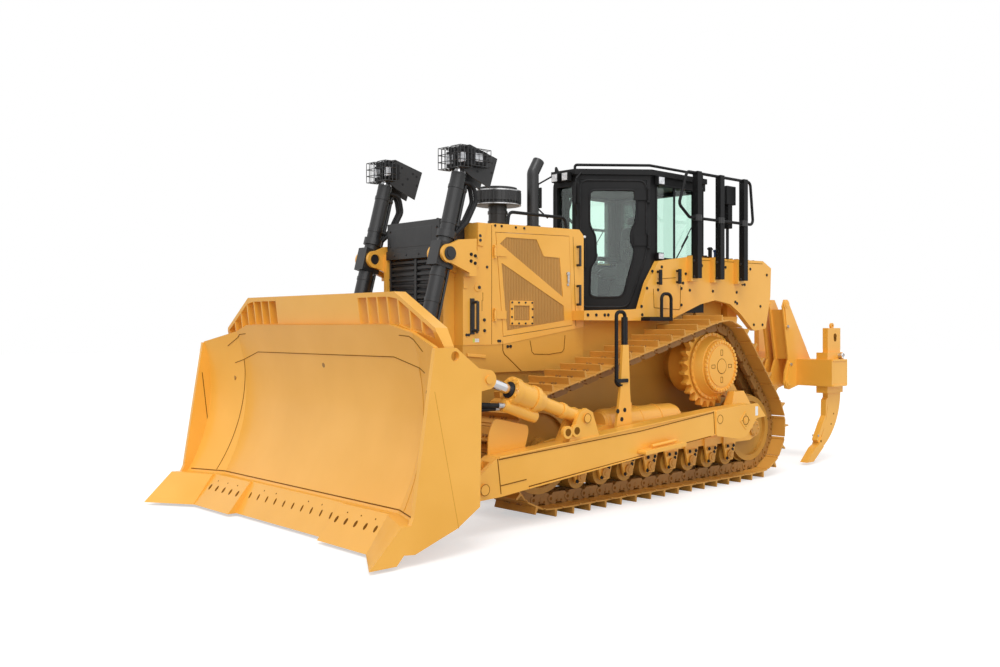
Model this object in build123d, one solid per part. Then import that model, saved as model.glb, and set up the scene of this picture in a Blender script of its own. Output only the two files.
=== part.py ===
"""Elevated-sprocket track-type dozer: semi-universal blade, cab and three-shank parallelogram ripper.

Frame: +X forward, +Y to the machine's left, +Z up, ground at z = 0, millimetres.
The origin lies on the ground under the middle of the machine's length and width.
"""
import os
from math import asin, atan2, cos, degrees, hypot, pi, sin, sqrt

from build123d import *

os.makedirs("parts", exist_ok=True)

# ---------------------------------------------------------------- driving sizes
# Tracks
GAUGE = 2083.0            # distance between the two track centre lines
SHOE_WIDTH = 560.0
SHOE_PITCH = 215.9
SHOE_PLATE = 16.0         # thickness of a shoe's plate
GROUSER_HEIGHT = 64.0     # one bar on each shoe
LINK_HEIGHT = 112.0       # from the shoe's inner face to the rail that the rollers run on
RAIL_WIDTH = 58.0         # one of the chain's two link rails
RAIL_OFFSET = 82.0        # middle of a link rail from the track's centre line
REAR_IDLER = (-1775.0, 565.0, 565.0)      # centre x, centre z, radius at the grouser tips
FRONT_IDLER = (1505.0, 596.0, 596.0)
SPROCKET = (-1135.0, 1300.0, 585.0)
ROLLERS = 8
ROLLER_RADIUS = 118.0
ROLLER_PITCH = 336.0

# Blade
BLADE_WIDTH = 3940.0      # over the end plates
BLADE_ARC = (4638.0, 1123.0, 1577.0)      # centre x, centre z and radius of the moldboard's front face
BLADE_BOTTOM, BLADE_TOP = 110.0, 1753.0
BLADE_EDGE_Z = 29.0       # the cutting edge just off the ground
BLADE_TIP = 3870.0        # x of the end bits' points
MOLDBOARD_SKIN = 40.0
CENTRE_HALF = 1480.0      # half the straight middle of the moldboard
WING_AHEAD = 163.0        # how far each wing comes forward at the end plate
END_PLATE = 40.0
PUSH_ARM_Y = (1400.0, 1580.0)
TRUNNION = (-1085.0, 730.0)
BLADE_PIN = (2525.0, 400.0)

# Cylinders
LIFT_Y = 600.0
LIFT_TRUNNION = (2210.0, 2400.0)
LIFT_EYE = (2648.0, 700.0)
LIFT_BARREL_RADIUS = 70.0
LIFT_ROD_RADIUS = 38.0
TILT_Y = 1490.0
TILT_BASE = (1335.0, 910.0)
TILT_EYE = (2465.0, 1300.0)
TILT_BARREL_RADIUS = 105.0
TILT_ROD_RADIUS = 45.0

# Ripper
RIPPER_FRONT_PIN = (-2250.0, 930.0)
RIPPER_REAR_PIN = (-3235.0, 1010.0)
RIPPER_TOP_PIN = (-3195.0, 2020.0)
RIPPER_CYLINDER_TOP = (-2520.0, 2000.0)
RIPPER_CYLINDER_EYE = (-2608.0, 985.0)
RIPPER_CYLINDER_Y = 220.0
RIPPER_BARREL_RADIUS = 75.0
RIPPER_ROD_RADIUS = 40.0
LINK_Y = (400.0, 480.0)
BEAM_WIDTH = 2464.0
BEAM_X = (-3826.0, -3445.0)
BEAM_Z = (975.0, 1315.0)
SHANK_SPACING = 1067.0
SHANK_THICK = 75.0

PIN_GAP = 5.0             # side clearance of an eye between its ears
EYE_BOSS = 4.5            # boss on each face of a rod's eye, which leaves its ears 0.5 mm
BLADE_PIN_RADIUS = 40.0
LIFT_PIN_RADIUS = 30.0
TILT_PIN_RADIUS = 36.0
RIPPER_PIN_RADIUS = 40.0
UPPER_PIN_RADIUS = 30.0
RUNNING_GAP = 1.0         # radial clearance of a rod in its gland


# ---------------------------------------------------------------- helpers
def save(name, *shapes):
    """Write one node from solids, flattening lists."""
    solids = []
    for shape in shapes:
        for item in (shape if isinstance(shape, (list, tuple)) else [shape]):
            solids.extend(item.solids())
    export_step(solids[0] if len(solids) == 1 else Compound(children=solids), f"parts/{name}.step")


def plate(outline, y0, y1):
    """A flat plate: an outline of (x, z) corners, thick from y0 to y1."""
    face = Plane.XZ * make_face(Polyline(*outline, close=True))
    return extrude(face, amount=y1 - y0, dir=(0, 1, 0)).moved(Location((0, y0, 0)))


def block(x, y, z):
    """A box from (low, high) along each axis."""
    size = (x[1] - x[0], y[1] - y[0], z[1] - z[0])
    middle = ((x[0] + x[1]) / 2, (y[0] + y[1]) / 2, (z[0] + z[1]) / 2)
    return Location(middle) * Box(*size)


def disc(centre, radius, y0, y1):
    """A round boss across the machine, centre (x, z), from y0 to y1."""
    place = Location((centre[0], (y0 + y1) / 2, centre[1]), (90, 0, 0))
    return place * Cylinder(radius, y1 - y0)


def upright(x, y, radius, z0, z1):
    return Location((x, y, (z0 + z1) / 2)) * Cylinder(radius, z1 - z0)


def towards(start, end):
    """Unit vector (x, z) from one point to the other, and the distance."""
    length = hypot(end[0] - start[0], end[1] - start[1])
    return ((end[0] - start[0]) / length, (end[1] - start[1]) / length), length


def along(start, end, distance):
    """The point (x, z) at a distance from start on the way to end."""
    way, _ = towards(start, end)
    return (start[0] + way[0] * distance, start[1] + way[1] * distance)


def turned(start, end, y, sections):
    """A body of revolution about the line start-end: sections are (distance, radius) pairs."""
    way, _ = towards(start, end)
    outline = [(0, sections[0][0])] + [(r, d) for d, r in sections] + [(0, sections[-1][0])]
    face = Plane.XY * make_face(Polyline(*[(r, d) for r, d in outline], close=True))
    solid = revolve(face, axis=Axis.Y)
    angle = degrees(atan2(way[1], way[0])) - 90
    return Location((start[0], y, start[1])) * Rotation(90, 0, 0) * Rotation(0, 0, angle) * solid


def tube(points, radius, bend):
    """A bent round bar through points in space, its corners rounded to a bend radius."""
    path = FilletPolyline(*points, radius=bend) if len(points) > 2 else Line(*points)
    return sweep(Plane(origin=path @ 0, z_dir=path % 0) * Circle(radius), path=path)


def bored(shape, centre, pin_radius, y0, y1):
    """Cut the running hole of a pin through an eye."""
    return shape - disc(centre, pin_radius + RUNNING_GAP, y0 - 1, y1 + 1)


def mirrored(shape):
    return mirror(shape, Plane.XZ)


def both(shape):
    return [shape, mirrored(shape)]


# ---------------------------------------------------------------- tracks
def tangent_angle(a, b):
    """Outward normal angle of the line that wraps circles a then b, on the left of the way a-b."""
    distance = hypot(b[0] - a[0], b[1] - a[1])
    heading = atan2(b[1] - a[1], b[0] - a[0])
    return heading + pi / 2 + asin((b[2] - a[2]) / distance)


# The loop goes over the sprocket towards the front: rear idler, sprocket, front idler.
LOOP = (REAR_IDLER, SPROCKET, FRONT_IDLER)


def loop_stations(inset):
    """Straight runs and arcs of the loop at an inset from the grouser tips."""
    runs = []
    for index, wheel in enumerate(LOOP):
        after = LOOP[(index + 1) % len(LOOP)]
        normal = tangent_angle(wheel, after)
        start = (wheel[0] + (wheel[2] - inset) * cos(normal), wheel[1] + (wheel[2] - inset) * sin(normal))
        end = (after[0] + (after[2] - inset) * cos(normal), after[1] + (after[2] - inset) * sin(normal))
        runs.append((start, end, normal))
    return runs


def loop_wire(inset):
    """The closed loop at an inset, as lines and tangent arcs."""
    runs = loop_stations(inset)
    edges = []
    for index, (start, end, normal) in enumerate(runs):
        edges.append(Line(start, end))
        wheel = LOOP[(index + 1) % len(LOOP)]
        following = runs[(index + 1) % len(runs)]
        turn = (normal - following[2]) % (2 * pi)
        middle = normal - turn / 2
        radius = wheel[2] - inset
        via = (wheel[0] + radius * cos(middle), wheel[1] + radius * sin(middle))
        edges.append(ThreePointArc(end, via, following[0]))
    return Wire(edges)


def loop_length(inset):
    return loop_wire(inset).length


PIN_INSET = GROUSER_HEIGHT + SHOE_PLATE + LINK_HEIGHT / 2
SHOES = round(loop_length(PIN_INSET) / SHOE_PITCH)


def shoe_outline():
    """Closed polygon of all shoes: one plate and one grouser bar at each pitch of the chain."""
    plate_line = loop_wire(GROUSER_HEIGHT)
    points = []
    for index in range(SHOES):
        # (place along the pitch, height over the plate)
        for step, height in ((0.06, 0.0), (0.06, 1.0), (0.14, 1.0), (0.17, 0.0)):
            at = (index + step) / SHOES
            spot = plate_line @ at
            way = plate_line % at
            points.append((spot.X - way.Y * GROUSER_HEIGHT * height, spot.Y + way.X * GROUSER_HEIGHT * height))
    return points


def make_track():
    """One fixed loop: shoes with their bars, and the two link rails under them."""
    middle = GAUGE / 2
    outer = make_face(Polyline(*shoe_outline(), close=True))
    inner = make_face(loop_wire(GROUSER_HEIGHT + SHOE_PLATE))
    shoes = extrude(Plane.XZ * (outer - inner), amount=SHOE_WIDTH, dir=(0, 1, 0))
    shoes = shoes.moved(Location((0, middle - SHOE_WIDTH / 2, 0)))
    ring = make_face(loop_wire(GROUSER_HEIGHT + SHOE_PLATE - 2)) - make_face(loop_wire(RAIL_INSET))
    rails = []
    for side in (-1, 1):
        low = middle + side * RAIL_OFFSET - RAIL_WIDTH / 2
        rails.append(extrude(Plane.XZ * ring, amount=RAIL_WIDTH, dir=(0, 1, 0)).moved(Location((0, low, 0))))
    return shoes + rails[0] + rails[1]


RAIL_INSET = GROUSER_HEIGHT + SHOE_PLATE + LINK_HEIGHT
track = make_track()
save("track_left", track)
save("track_right", mirrored(track))


# ---------------------------------------------------------------- undercarriage
TRACK_Y = GAUGE / 2
RAIL_OUT = RAIL_OFFSET + RAIL_WIDTH / 2
WHEEL_GAP = 1.0
FRAME_HALF = 150.0        # half the roller frame's width; the shafts end on its cheeks
CHEEK = 22.0


def make_idler(wheel):
    """An idler with a tread for each rail, a raised middle flange and a hub."""
    tread = wheel[2] - RAIL_INSET - WHEEL_GAP
    centre = (wheel[0], wheel[1])
    flange = RAIL_OFFSET - RAIL_WIDTH / 2 - 4
    rim = disc(centre, tread, TRACK_Y - RAIL_OUT, TRACK_Y + RAIL_OUT)
    rim += disc(centre, tread + 22, TRACK_Y - flange, TRACK_Y + flange)
    for side in (-1, 1):
        face = TRACK_Y + side * RAIL_OUT
        low, high = sorted((face, face - side * 40))
        rim -= disc(centre, tread - 60, low, high) - disc(centre, 120, low, high)
    return rim + disc(centre, 95, TRACK_Y - FRAME_HALF, TRACK_Y + FRAME_HALF)


ROLLER_Z = RAIL_INSET + ROLLER_RADIUS + WHEEL_GAP
FIRST_ROLLER_X = (REAR_IDLER[0] + FRONT_IDLER[0]) / 2 - (ROLLERS - 1) / 2 * ROLLER_PITCH
ROLLER_X = [FIRST_ROLLER_X + index * ROLLER_PITCH for index in range(ROLLERS)]
wheels = [make_idler(REAR_IDLER), make_idler(FRONT_IDLER)]
for x in ROLLER_X:
    centre = (x, ROLLER_Z)
    roller = disc(centre, ROLLER_RADIUS, TRACK_Y - RAIL_OUT - 8, TRACK_Y + RAIL_OUT + 8)
    roller -= disc(centre, ROLLER_RADIUS, TRACK_Y - 20, TRACK_Y + 20) - disc(centre, 80, TRACK_Y - 20, TRACK_Y + 20)
    wheels.append(roller + disc(centre, 62, TRACK_Y - FRAME_HALF, TRACK_Y + FRAME_HALF))
save("idlers_and_rollers", wheels, [mirrored(wheel) for wheel in wheels])

# Sprocket: a toothed ring bolted round the final drive
SPROCKET_TEETH = 24
SPROCKET_ROOT = SPROCKET[2] - RAIL_INSET + 4
SPROCKET_TIP = SPROCKET_ROOT + 62
SPROCKET_WIDTH = 78.0
DRIVE_RADIUS = 300.0


def make_sprocket():
    points = []
    for tooth in range(SPROCKET_TEETH):
        for share, radius in ((0.08, SPROCKET_ROOT), (0.30, SPROCKET_TIP), (0.50, SPROCKET_TIP), (0.72, SPROCKET_ROOT)):
            angle = 2 * pi * (tooth + share) / SPROCKET_TEETH
            points.append((SPROCKET[0] + radius * cos(angle), SPROCKET[1] + radius * sin(angle)))
    ring = plate(points, TRACK_Y - SPROCKET_WIDTH / 2, TRACK_Y + SPROCKET_WIDTH / 2)
    return ring - disc(sprocket_centre, DRIVE_RADIUS, TRACK_Y - SPROCKET_WIDTH, TRACK_Y + SPROCKET_WIDTH)


sprocket_centre = (SPROCKET[0], SPROCKET[1])
save("sprockets", both(make_sprocket()))

HUB_FACE_Y = 1238.0
DRIVE_INNER_Y = 720.0
final_drive = disc(sprocket_centre, DRIVE_RADIUS, DRIVE_INNER_Y, TRACK_Y + SPROCKET_WIDTH / 2 + 12)
final_drive += disc(sprocket_centre, 265, TRACK_Y, HUB_FACE_Y - 22)
final_drive += disc(sprocket_centre, 285, HUB_FACE_Y - 32, HUB_FACE_Y - 8)
final_drive += disc(sprocket_centre, 225, HUB_FACE_Y - 10, HUB_FACE_Y)
save("final_drives", both(final_drive))

# Roller frame: a box between the runs, cheeks for the idlers, hangers for the rollers,
# the recoil housing on top and the post of the climbing handle
frame_outline = [
    (-1340, 440), (1040, 440), (1080, 560), (1080, 680), (700, 770), (-300, 790), (-1340, 790),
]
track_frame = plate(frame_outline, TRACK_Y - FRAME_HALF, TRACK_Y + FRAME_HALF)
for wheel in (REAR_IDLER, FRONT_IDLER):
    track_frame -= disc((wheel[0], wheel[1]), wheel[2] - RAIL_INSET + 40, TRACK_Y - 125, TRACK_Y + 125)
rear_cheek = [(-1300, 440), (-1300, 760), (-1700, 700), (-1865, 640), (-1865, 500), (-1700, 440)]
front_cheek = [(960, 450), (960, 720), (1400, 700), (1600, 660), (1600, 540), (1400, 480)]
for side in (-1, 1):
    near = TRACK_Y + side * FRAME_HALF
    low, high = sorted((near, near + side * CHEEK))
    track_frame += plate(rear_cheek, low, high) + plate(front_cheek, low, high)
    for x in ROLLER_X:
        track_frame += plate([(x - 110, 520), (x - 110, 430), (x - 60, 250), (x + 60, 250), (x + 110, 430),
                              (x + 110, 520)], low, high)
track_frame += turned((-520, 770), (640, 770), TRACK_Y, [(0, 110), (60, 150), (1100, 150), (1160, 120)])
track_frame += disc(TRUNNION, 70, TRACK_Y + 100, PUSH_ARM_Y[0] + 60)
POST_BRACKET_Y = (1345.0, 1375.0)
track_frame += block((490, 720), (TRACK_Y + FRAME_HALF - 1, POST_BRACKET_Y[1]), (640, 700))
track_frame += plate([(735, 640), (475, 640), (520, 1100), (540, 1560), (620, 1560), (660, 1100)], *POST_BRACKET_Y)
save("track_frames", both(track_frame))

# ---------------------------------------------------------------- main frame
HULL_HALF = 560.0
HULL_TOP = 1565.0
HULL_REAR = -2150.0
GUARD_HALF = 620.0
NOSE_HALF = 485.0
CAB_FLOOR = 1900.0
hull_outline = [
    (HULL_REAR, 700), (-1900, 618), (1300, 618), (1900, 800), (1985, 1060), (1985, HULL_TOP), (-300, HULL_TOP),
    (HULL_REAR, 1700),
]
main_frame = plate(hull_outline, -HULL_HALF, HULL_HALF)
main_frame += plate([(1900, 800), (2110, 1060), (2110, HULL_TOP), (1900, HULL_TOP)], -NOSE_HALF, NOSE_HALF)
main_frame += block((-1480, 404), (-HULL_HALF, HULL_HALF), (1500, CAB_FLOOR))
main_frame += block((80, 404), (-170, 170), (CAB_FLOOR - 1, 2650))
main_frame += block((-2100, -1600), (-500, 500), (1600, 2060))
skirt = plate([(405, 1300), (405, 1735), (1485, 1570), (1640, HULL_TOP), (1985, HULL_TOP), (1985, 1300)], HULL_HALF, GUARD_HALF - 5)
main_frame += skirt + mirrored(skirt)
main_frame += disc((-1085, 640), 95, -TRACK_Y + FRAME_HALF + CHEEK, TRACK_Y - FRAME_HALF - CHEEK)
main_frame += block((560, 700), (-TRACK_Y + FRAME_HALF, TRACK_Y - FRAME_HALF), (640, 760))
main_frame += disc(sprocket_centre, 200, -DRIVE_INNER_Y, DRIVE_INNER_Y)
main_frame += block((2000, 2200), (-75, 75), (1080, 1240)) - block((2130, 2201), (-45, 45), (1079, 1241))
main_frame -= disc((2165, 1160), 20, -76, 76)
save("main_frame", main_frame)

# ---------------------------------------------------------------- engine, guard and hood
HOOD_TOP = 2740.0
SHEET = 12.0
HOOD_X = (405.0, 1640.0)
ENGINE_X = (600.0, 1400.0)
save("engine", block(ENGINE_X, (-380, 380), (HULL_TOP, 2500)))
LIFT_YOKE_Y = ((LIFT_Y - 115, LIFT_Y - 80), (LIFT_Y + 80, LIFT_Y + 115))
guard = block((HOOD_X[1], 1814), (-GUARD_HALF, GUARD_HALF), (HULL_TOP, 2715))
guard += block((1813, 1985), (-GUARD_HALF, GUARD_HALF), (HULL_TOP, 2450))
guard += block((1984, 2110), (-NOSE_HALF, NOSE_HALF), (HULL_TOP, 2450))
guard -= block((1700, 2111), (-430, 430), (1640, 2400))
yoke_outline = [(1900, 2200), (1900, 2550), (2100, 2530), (2210, 2480), (2210, 2320)]
for low, high in LIFT_YOKE_Y:
    yoke = plate(yoke_outline, low, high) + disc(LIFT_TRUNNION, 85, low, high) - disc(LIFT_TRUNNION, 51, low - 1, high + 1)
    guard += yoke + mirrored(yoke)
for side in (-1, 1):
    guard += block((1900, 1985), sorted((side * (GUARD_HALF - 5), side * LIFT_YOKE_Y[1][1])), (2200, 2440))
save("radiator_guard", guard)
grille = block((2040, 2050), (-430, 430), (1640, 2400)) + block((2049, 2078), (-18, 18), (1640, 2400))
for index in range(13):
    z = 1665 + index * 57
    grille += block((2049, 2072), (-430, 430), (z, z + 22))
save("radiator_grille", grille, block((1814, 2108), (-425, 425), (2450, 2745)))
hood_outline = [(HOOD_X[0], 1735), (HOOD_X[0], 2680), (470, HOOD_TOP), (HOOD_X[1], 2720), (HOOD_X[1], HULL_TOP),
                (1485, 1570)]
hood_inside = [(HOOD_X[0] - 1, 1700), (HOOD_X[0] - 1, 2668), (475, HOOD_TOP - SHEET), (HOOD_X[1] + 1, 2720 - SHEET),
               (HOOD_X[1] + 1, 1500), (1485, 1500)]
ENGINE_DOOR = [(1501, 1640), (1595, 2640), (614, 2665), (569, 1750)]
hood = plate(hood_outline, -GUARD_HALF, GUARD_HALF)
hood -= plate(hood_inside, -GUARD_HALF + SHEET, GUARD_HALF - SHEET)
hood -= plate(ENGINE_DOOR, -GUARD_HALF - 1, GUARD_HALF + 1)
DOOR_SEAM = 5.0
door_outline = offset(make_face(Polyline(*ENGINE_DOOR, close=True)), -DOOR_SEAM, kind=Kind.INTERSECTION)
engine_door = extrude(Plane.XZ * door_outline, amount=22, dir=(0, 1, 0)).moved(Location((0, GUARD_HALF - 20, 0)))
# (x, z) outlines of the two perforated fields, either side of the diagonal rib
for field in ([(1541, 2531), (1460, 2597), (1066, 2600), (970, 2438), (750, 2433), (705, 2038)],
              [(1521, 2349), (694, 1949), (682, 1800), (1450, 1700)]):
    engine_door -= plate(field, GUARD_HALF - 8, GUARD_HALF + 3)
engine_door += block((1110, 1410), (GUARD_HALF - 9, GUARD_HALF + 2), (1750, 1990)) - block(
    (1160, 1360), (GUARD_HALF - 8, GUARD_HALF + 3), (1790, 1950))
# Its hinge line stands outside the door's front edge
ENGINE_HINGE = (1612.0, GUARD_HALF + 16.0)
for z in (1850.0, 2450.0):
    knuckle = upright(*ENGINE_HINGE, 14, z - 40, z + 40)
    knuckle += block((1465, ENGINE_HINGE[0]), (GUARD_HALF + 4, GUARD_HALF + 12), (z - 40, z + 40))
    knuckle += block((1465, 1505), (GUARD_HALF - 1, GUARD_HALF + 5), (z - 40, z + 40))
    engine_door += knuckle - upright(*ENGINE_HINGE, 7 + RUNNING_GAP, z - 41, z + 41)
    lug = upright(*ENGINE_HINGE, 7, z - 62, z + 62)
    for low in (z - 62, z + 43):
        lug += block((ENGINE_HINGE[0] - 10, ENGINE_HINGE[0] + 10), (GUARD_HALF - 1, ENGINE_HINGE[1] + 12), (low, low + 19))
    hood = hood + lug + mirrored(lug)
save("hood", hood)
save("engine_door_left", engine_door)
save("engine_door_right", mirrored(engine_door))
STACK_X, STACK_Y = 735.0, 200.0
stack = upright(STACK_X, STACK_Y, 80, 2730, 2790) + upright(STACK_X, STACK_Y, 62, 2789, 3320)
stack += tube([(STACK_X, STACK_Y, 3280), (STACK_X, STACK_Y, 3340), (STACK_X - 80, STACK_Y, 3475)], 62, 60)
stack -= plate(hood_outline, -GUARD_HALF, GUARD_HALF)
save("exhaust_stack", stack)
CLEANER_X = 1045.0
cleaner = upright(CLEANER_X, 0, 95, 2725, 2985) + upright(CLEANER_X, 0, 225, 2984, 3030)
cleaner += upright(CLEANER_X, 0, 240, 3029, 3140) + upright(CLEANER_X, 0, 200, 3139, 3170)
save("air_precleaner", cleaner - plate(hood_outline, -GUARD_HALF, GUARD_HALF))

# ---------------------------------------------------------------- cab
CAB_TOP = 3400.0
ROOF_THICK = 60.0
ROOF_TOP = CAB_TOP + ROOF_THICK
WINDOW_Z = (2500.0, CAB_TOP - 100.0)
SCREEN_Z = (2300.0, CAB_TOP - 120.0)
WALL = 60.0
CAB_REAR = -1500.0
CAB_SIDE = 720.0
CAB_PLAN = [(80, -175), (80, 175), (-532, CAB_SIDE), (CAB_REAR, CAB_SIDE - 20), (CAB_REAR, -CAB_SIDE + 20),
            (-532, -CAB_SIDE)]


def cab_solid(points, z0, z1):
    face = make_face(Polyline(*points, close=True))
    return extrude(face, amount=z1 - z0).moved(Location((0, 0, z0)))


inner_plan = offset(make_face(Polyline(*CAB_PLAN, close=True)), -WALL, kind=Kind.INTERSECTION)
cab = cab_solid(CAB_PLAN, CAB_FLOOR, CAB_TOP)
cab -= extrude(inner_plan, amount=CAB_TOP - CAB_FLOOR - 2 * WALL).moved(Location((0, 0, CAB_FLOOR + WALL)))

# Door plane: from the windscreen's corner back to the side pillar
door_front = (80.0, 175.0)
door_rear = (-532.0, CAB_SIDE)
(door_way, door_length) = towards(door_front, door_rear)
door_angle = degrees(atan2(door_way[1], door_way[0]))
DOOR_Z = (1945.0, CAB_TOP - 55.0)
DOOR_SLANT = (0.70, 2520.0)   # share of the length where the sill ends, height where the slant ends
DOOR_THICK = 45.0
DOOR_FRAME = 95.0


def in_door_plane(shape):
    """Place a shape drawn with x along the door, y inward and z up at the left door's plane."""
    return Location((door_front[0], door_front[1], 0)) * Rotation(0, 0, door_angle) * shape


def door_panel(margin, y0, y1):
    low, high = DOOR_Z[0] + margin, DOOR_Z[1] - margin
    outline = [
        (40 + margin, low), (door_length * DOOR_SLANT[0] - margin * 0.4, low),
        (door_length - 40 - margin, DOOR_SLANT[1] + margin * 0.5), (door_length - 40 - margin, high),
        (40 + margin, high),
    ]
    return plate(outline, y0, y1)


# Door hinge: its line runs outside the door's rear edge; lugs and pin on the cab, knuckles on the door
DOOR_HINGE = (door_length - 22.0, -28.0)
HINGE_PIN = 10.0
KNUCKLE_HALF = 55.0
KNUCKLE_Z = (2680.0, CAB_TOP - 220.0)
lugs, knuckles = [], []
for z in KNUCKLE_Z:
    pin = upright(*DOOR_HINGE, HINGE_PIN, z - KNUCKLE_HALF - 30, z + KNUCKLE_HALF + 30)
    for low in (z - KNUCKLE_HALF - 30, z + KNUCKLE_HALF + 3):
        pin += block((DOOR_HINGE[0] - 16, DOOR_HINGE[0] + 16), (-46, 0), (low, low + 27))
    lugs.append(pin)
    knuckle = upright(*DOOR_HINGE, 20, z - KNUCKLE_HALF, z + KNUCKLE_HALF)
    knuckle += block((door_length - 180, DOOR_HINGE[0]), (-16, -4), (z - KNUCKLE_HALF, z + KNUCKLE_HALF))
    knuckle += block((door_length - 180, door_length - 60), (-5, 1), (z - KNUCKLE_HALF, z + KNUCKLE_HALF))
    knuckles.append(knuckle - upright(*DOOR_HINGE, HINGE_PIN + RUNNING_GAP, z - 60, z + 60))
cab -= in_door_plane(door_panel(0, -1, WALL + 40))
cab -= mirrored(in_door_plane(door_panel(0, -1, WALL + 40)))
for lug in lugs:
    cab += in_door_plane(lug)
    cab += mirrored(in_door_plane(lug))
cab -= block((0, 100), (-125, 125), SCREEN_Z)
side_window = block((-1420, -640), (CAB_SIDE - 120, CAB_SIDE + 40), WINDOW_Z)
rear_window = block((CAB_REAR - 20, CAB_REAR + 100), (-560, 560), WINDOW_Z)
cab -= side_window
cab -= mirrored(side_window)
cab -= rear_window
save("cab", cab)
ROOF_EDGE = 30.0
roof_plan = offset(make_face(Polyline(*CAB_PLAN, close=True)), ROOF_EDGE, kind=Kind.INTERSECTION)
save("cab_roof", extrude(roof_plan, amount=ROOF_TOP - CAB_TOP).moved(Location((0, 0, CAB_TOP))))
DOOR_GAP = 5.0
door = door_panel(DOOR_GAP, 0, DOOR_THICK) - door_panel(DOOR_FRAME, -1, DOOR_THICK + 1)
left_door = in_door_plane(door + knuckles[0] + knuckles[1])
left_glass = in_door_plane(door_panel(DOOR_FRAME, 18, 26))
save("cab_door_left", left_door)
save("cab_door_right", mirrored(left_door))
save("door_glass_left", left_glass)
save("door_glass_right", mirrored(left_glass))
side_glass = block((-1420, -640), (CAB_SIDE - 50, CAB_SIDE - 42), WINDOW_Z)
save("cab_glass", block((40, 48), (-125, 125), SCREEN_Z), both(side_glass),
     block((CAB_REAR + 32, CAB_REAR + 40), (-560, 560), WINDOW_Z))
save("operator_seat", block((-1150, -650), (-260, 260), (CAB_FLOOR + WALL, 2430))
     + block((-1200, -1060), (-260, 260), (2430, 3050)))
save("control_console", block((-260, -60), (-180, 180), (CAB_FLOOR + WALL, 2550)))

# ---------------------------------------------------------------- fenders, tank and rails
FENDER_OUT = 790.0
FENDER_IN = 725.0
fender_outline = [
    (569, 1802), (569, CAB_FLOOR), (-190, 1922), (-290, 1930), (-410, 2212), (-590, 2458), (-1118, 2530),
    (-2570, 2550), (-2746, 2466), (-2729, 2105), (-2633, 1717), (-2402, 1688), (-2341, 1708), (-2099, 1894),
    (-1893, 2006), (-1608, 2047), (-1332, 1996), (-773, 1808),
]
POST_X = (-1139.0, -1561.0, -2021.0)
POST_Y = (855.0, 930.0)
POST_Z = (2285.0, ROOF_TOP + 30.0)
RAIL_LOW = ROOF_TOP - 496.0     # lower rail between the posts
RAIL_HIGH = ROOF_TOP + 12.0
POST_HALF = 38.0
fender = plate(fender_outline, FENDER_IN, FENDER_OUT)
fender += block((-700, HOOD_X[0]), (HULL_HALF, FENDER_OUT), (1802, CAB_FLOOR))
fender += block((HOOD_X[0] - 1, 569), (GUARD_HALF, FENDER_OUT), (1802, CAB_FLOOR))
for x in POST_X:
    fender += block((x - 60, x + 60), (FENDER_OUT - 1, POST_Y[0]), (2250, 2540))
save("fenders", both(fender))
fuel_tank = block((-2130, -1560), (-FENDER_IN, FENDER_IN), (2060, 2540))
fuel_tank += block((-2700, -2129), (-340, 340), (2100, 2540))
save("fuel_tank", fuel_tank)

RAIL_TUBE = 17.0
rail_y = (POST_Y[0] + POST_Y[1]) / 2
rail = block((POST_X[0] - POST_HALF, POST_X[0] + POST_HALF), POST_Y, POST_Z)
for x in POST_X[1:]:
    rail += block((x - POST_HALF, x + POST_HALF), POST_Y, POST_Z)
rail += tube([(POST_X[0], rail_y, RAIL_LOW), (-1000, rail_y, RAIL_LOW), (-814, rail_y, RAIL_LOW + 133),
              (-955, rail_y, RAIL_HIGH), (-2155, rail_y, RAIL_HIGH), (-2216, rail_y, RAIL_LOW),
              (POST_X[2], rail_y, RAIL_LOW)], RAIL_TUBE, 60)
rail += tube([(POST_X[0], rail_y, RAIL_LOW), (POST_X[2], rail_y, RAIL_LOW)], RAIL_TUBE, 60)
STEP_Z = (1800.0, 1838.0)
step = block((-676, -298), (FENDER_OUT, 920), STEP_Z)
step += tube([(-510, 900, STEP_Z[1] - 1), (-510, 900, 2095), (-670, 900, 2095), (-670, 900, STEP_Z[1] - 1)], 18, 60)
post_y = (POST_BRACKET_Y[0] + POST_BRACKET_Y[1]) / 2
climb = tube([(580, post_y, 1561), (580, post_y, 1880), (700, post_y, 1880), (700, post_y, 1170),
              (630, post_y, 1170)], 18, 45)
hood_rail = tube([(1420, 590, HOOD_TOP - 25), (1400, 590, 2850), (650, 590, 2850), (620, 590, HOOD_TOP - 12)], 16, 60)
roof_y = 705.0
roof_rail = tube([(70, 150, ROOF_TOP), (70, 150, ROOF_TOP + 50), (-540, roof_y, ROOF_TOP + 50),
                  (-1480, roof_y - 15, ROOF_TOP + 50), (-1480, roof_y - 15, ROOF_TOP)], 15, 25)
rails = []
for item in (rail, step, climb - track_frame, hood_rail - hood, roof_rail):
    rails += both(item)
save("handrails", rails)

# ---------------------------------------------------------------- push arms
arm_outline = [
    (-560, 870), (-1180, 900), (-1300, 820), (-1240, 640), (-1100, 590), (-560, 610), (2335, 320), (2600, 310),
    (2620, 480), (2375, 650),
]
push_arm = plate(arm_outline, *PUSH_ARM_Y)
push_arm -= disc(TRUNNION, 70 + RUNNING_GAP, PUSH_ARM_Y[0] - 1, PUSH_ARM_Y[0] + 61)
push_arm -= block((BLADE_PIN[0] - 100, 2700), (TILT_Y - 45, TILT_Y + 45), (200, 700))
push_arm += disc(BLADE_PIN, BLADE_PIN_RADIUS, PUSH_ARM_Y[0], PUSH_ARM_Y[1] + 15)
cap = [(TRUNNION[0] - 100, TRUNNION[1]), (TRUNNION[0], TRUNNION[1] + 100), (TRUNNION[0] + 100, TRUNNION[1]),
       (TRUNNION[0], TRUNNION[1] - 100)]
push_arm += plate(cap, PUSH_ARM_Y[1] - 1, PUSH_ARM_Y[1] + 18)
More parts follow.
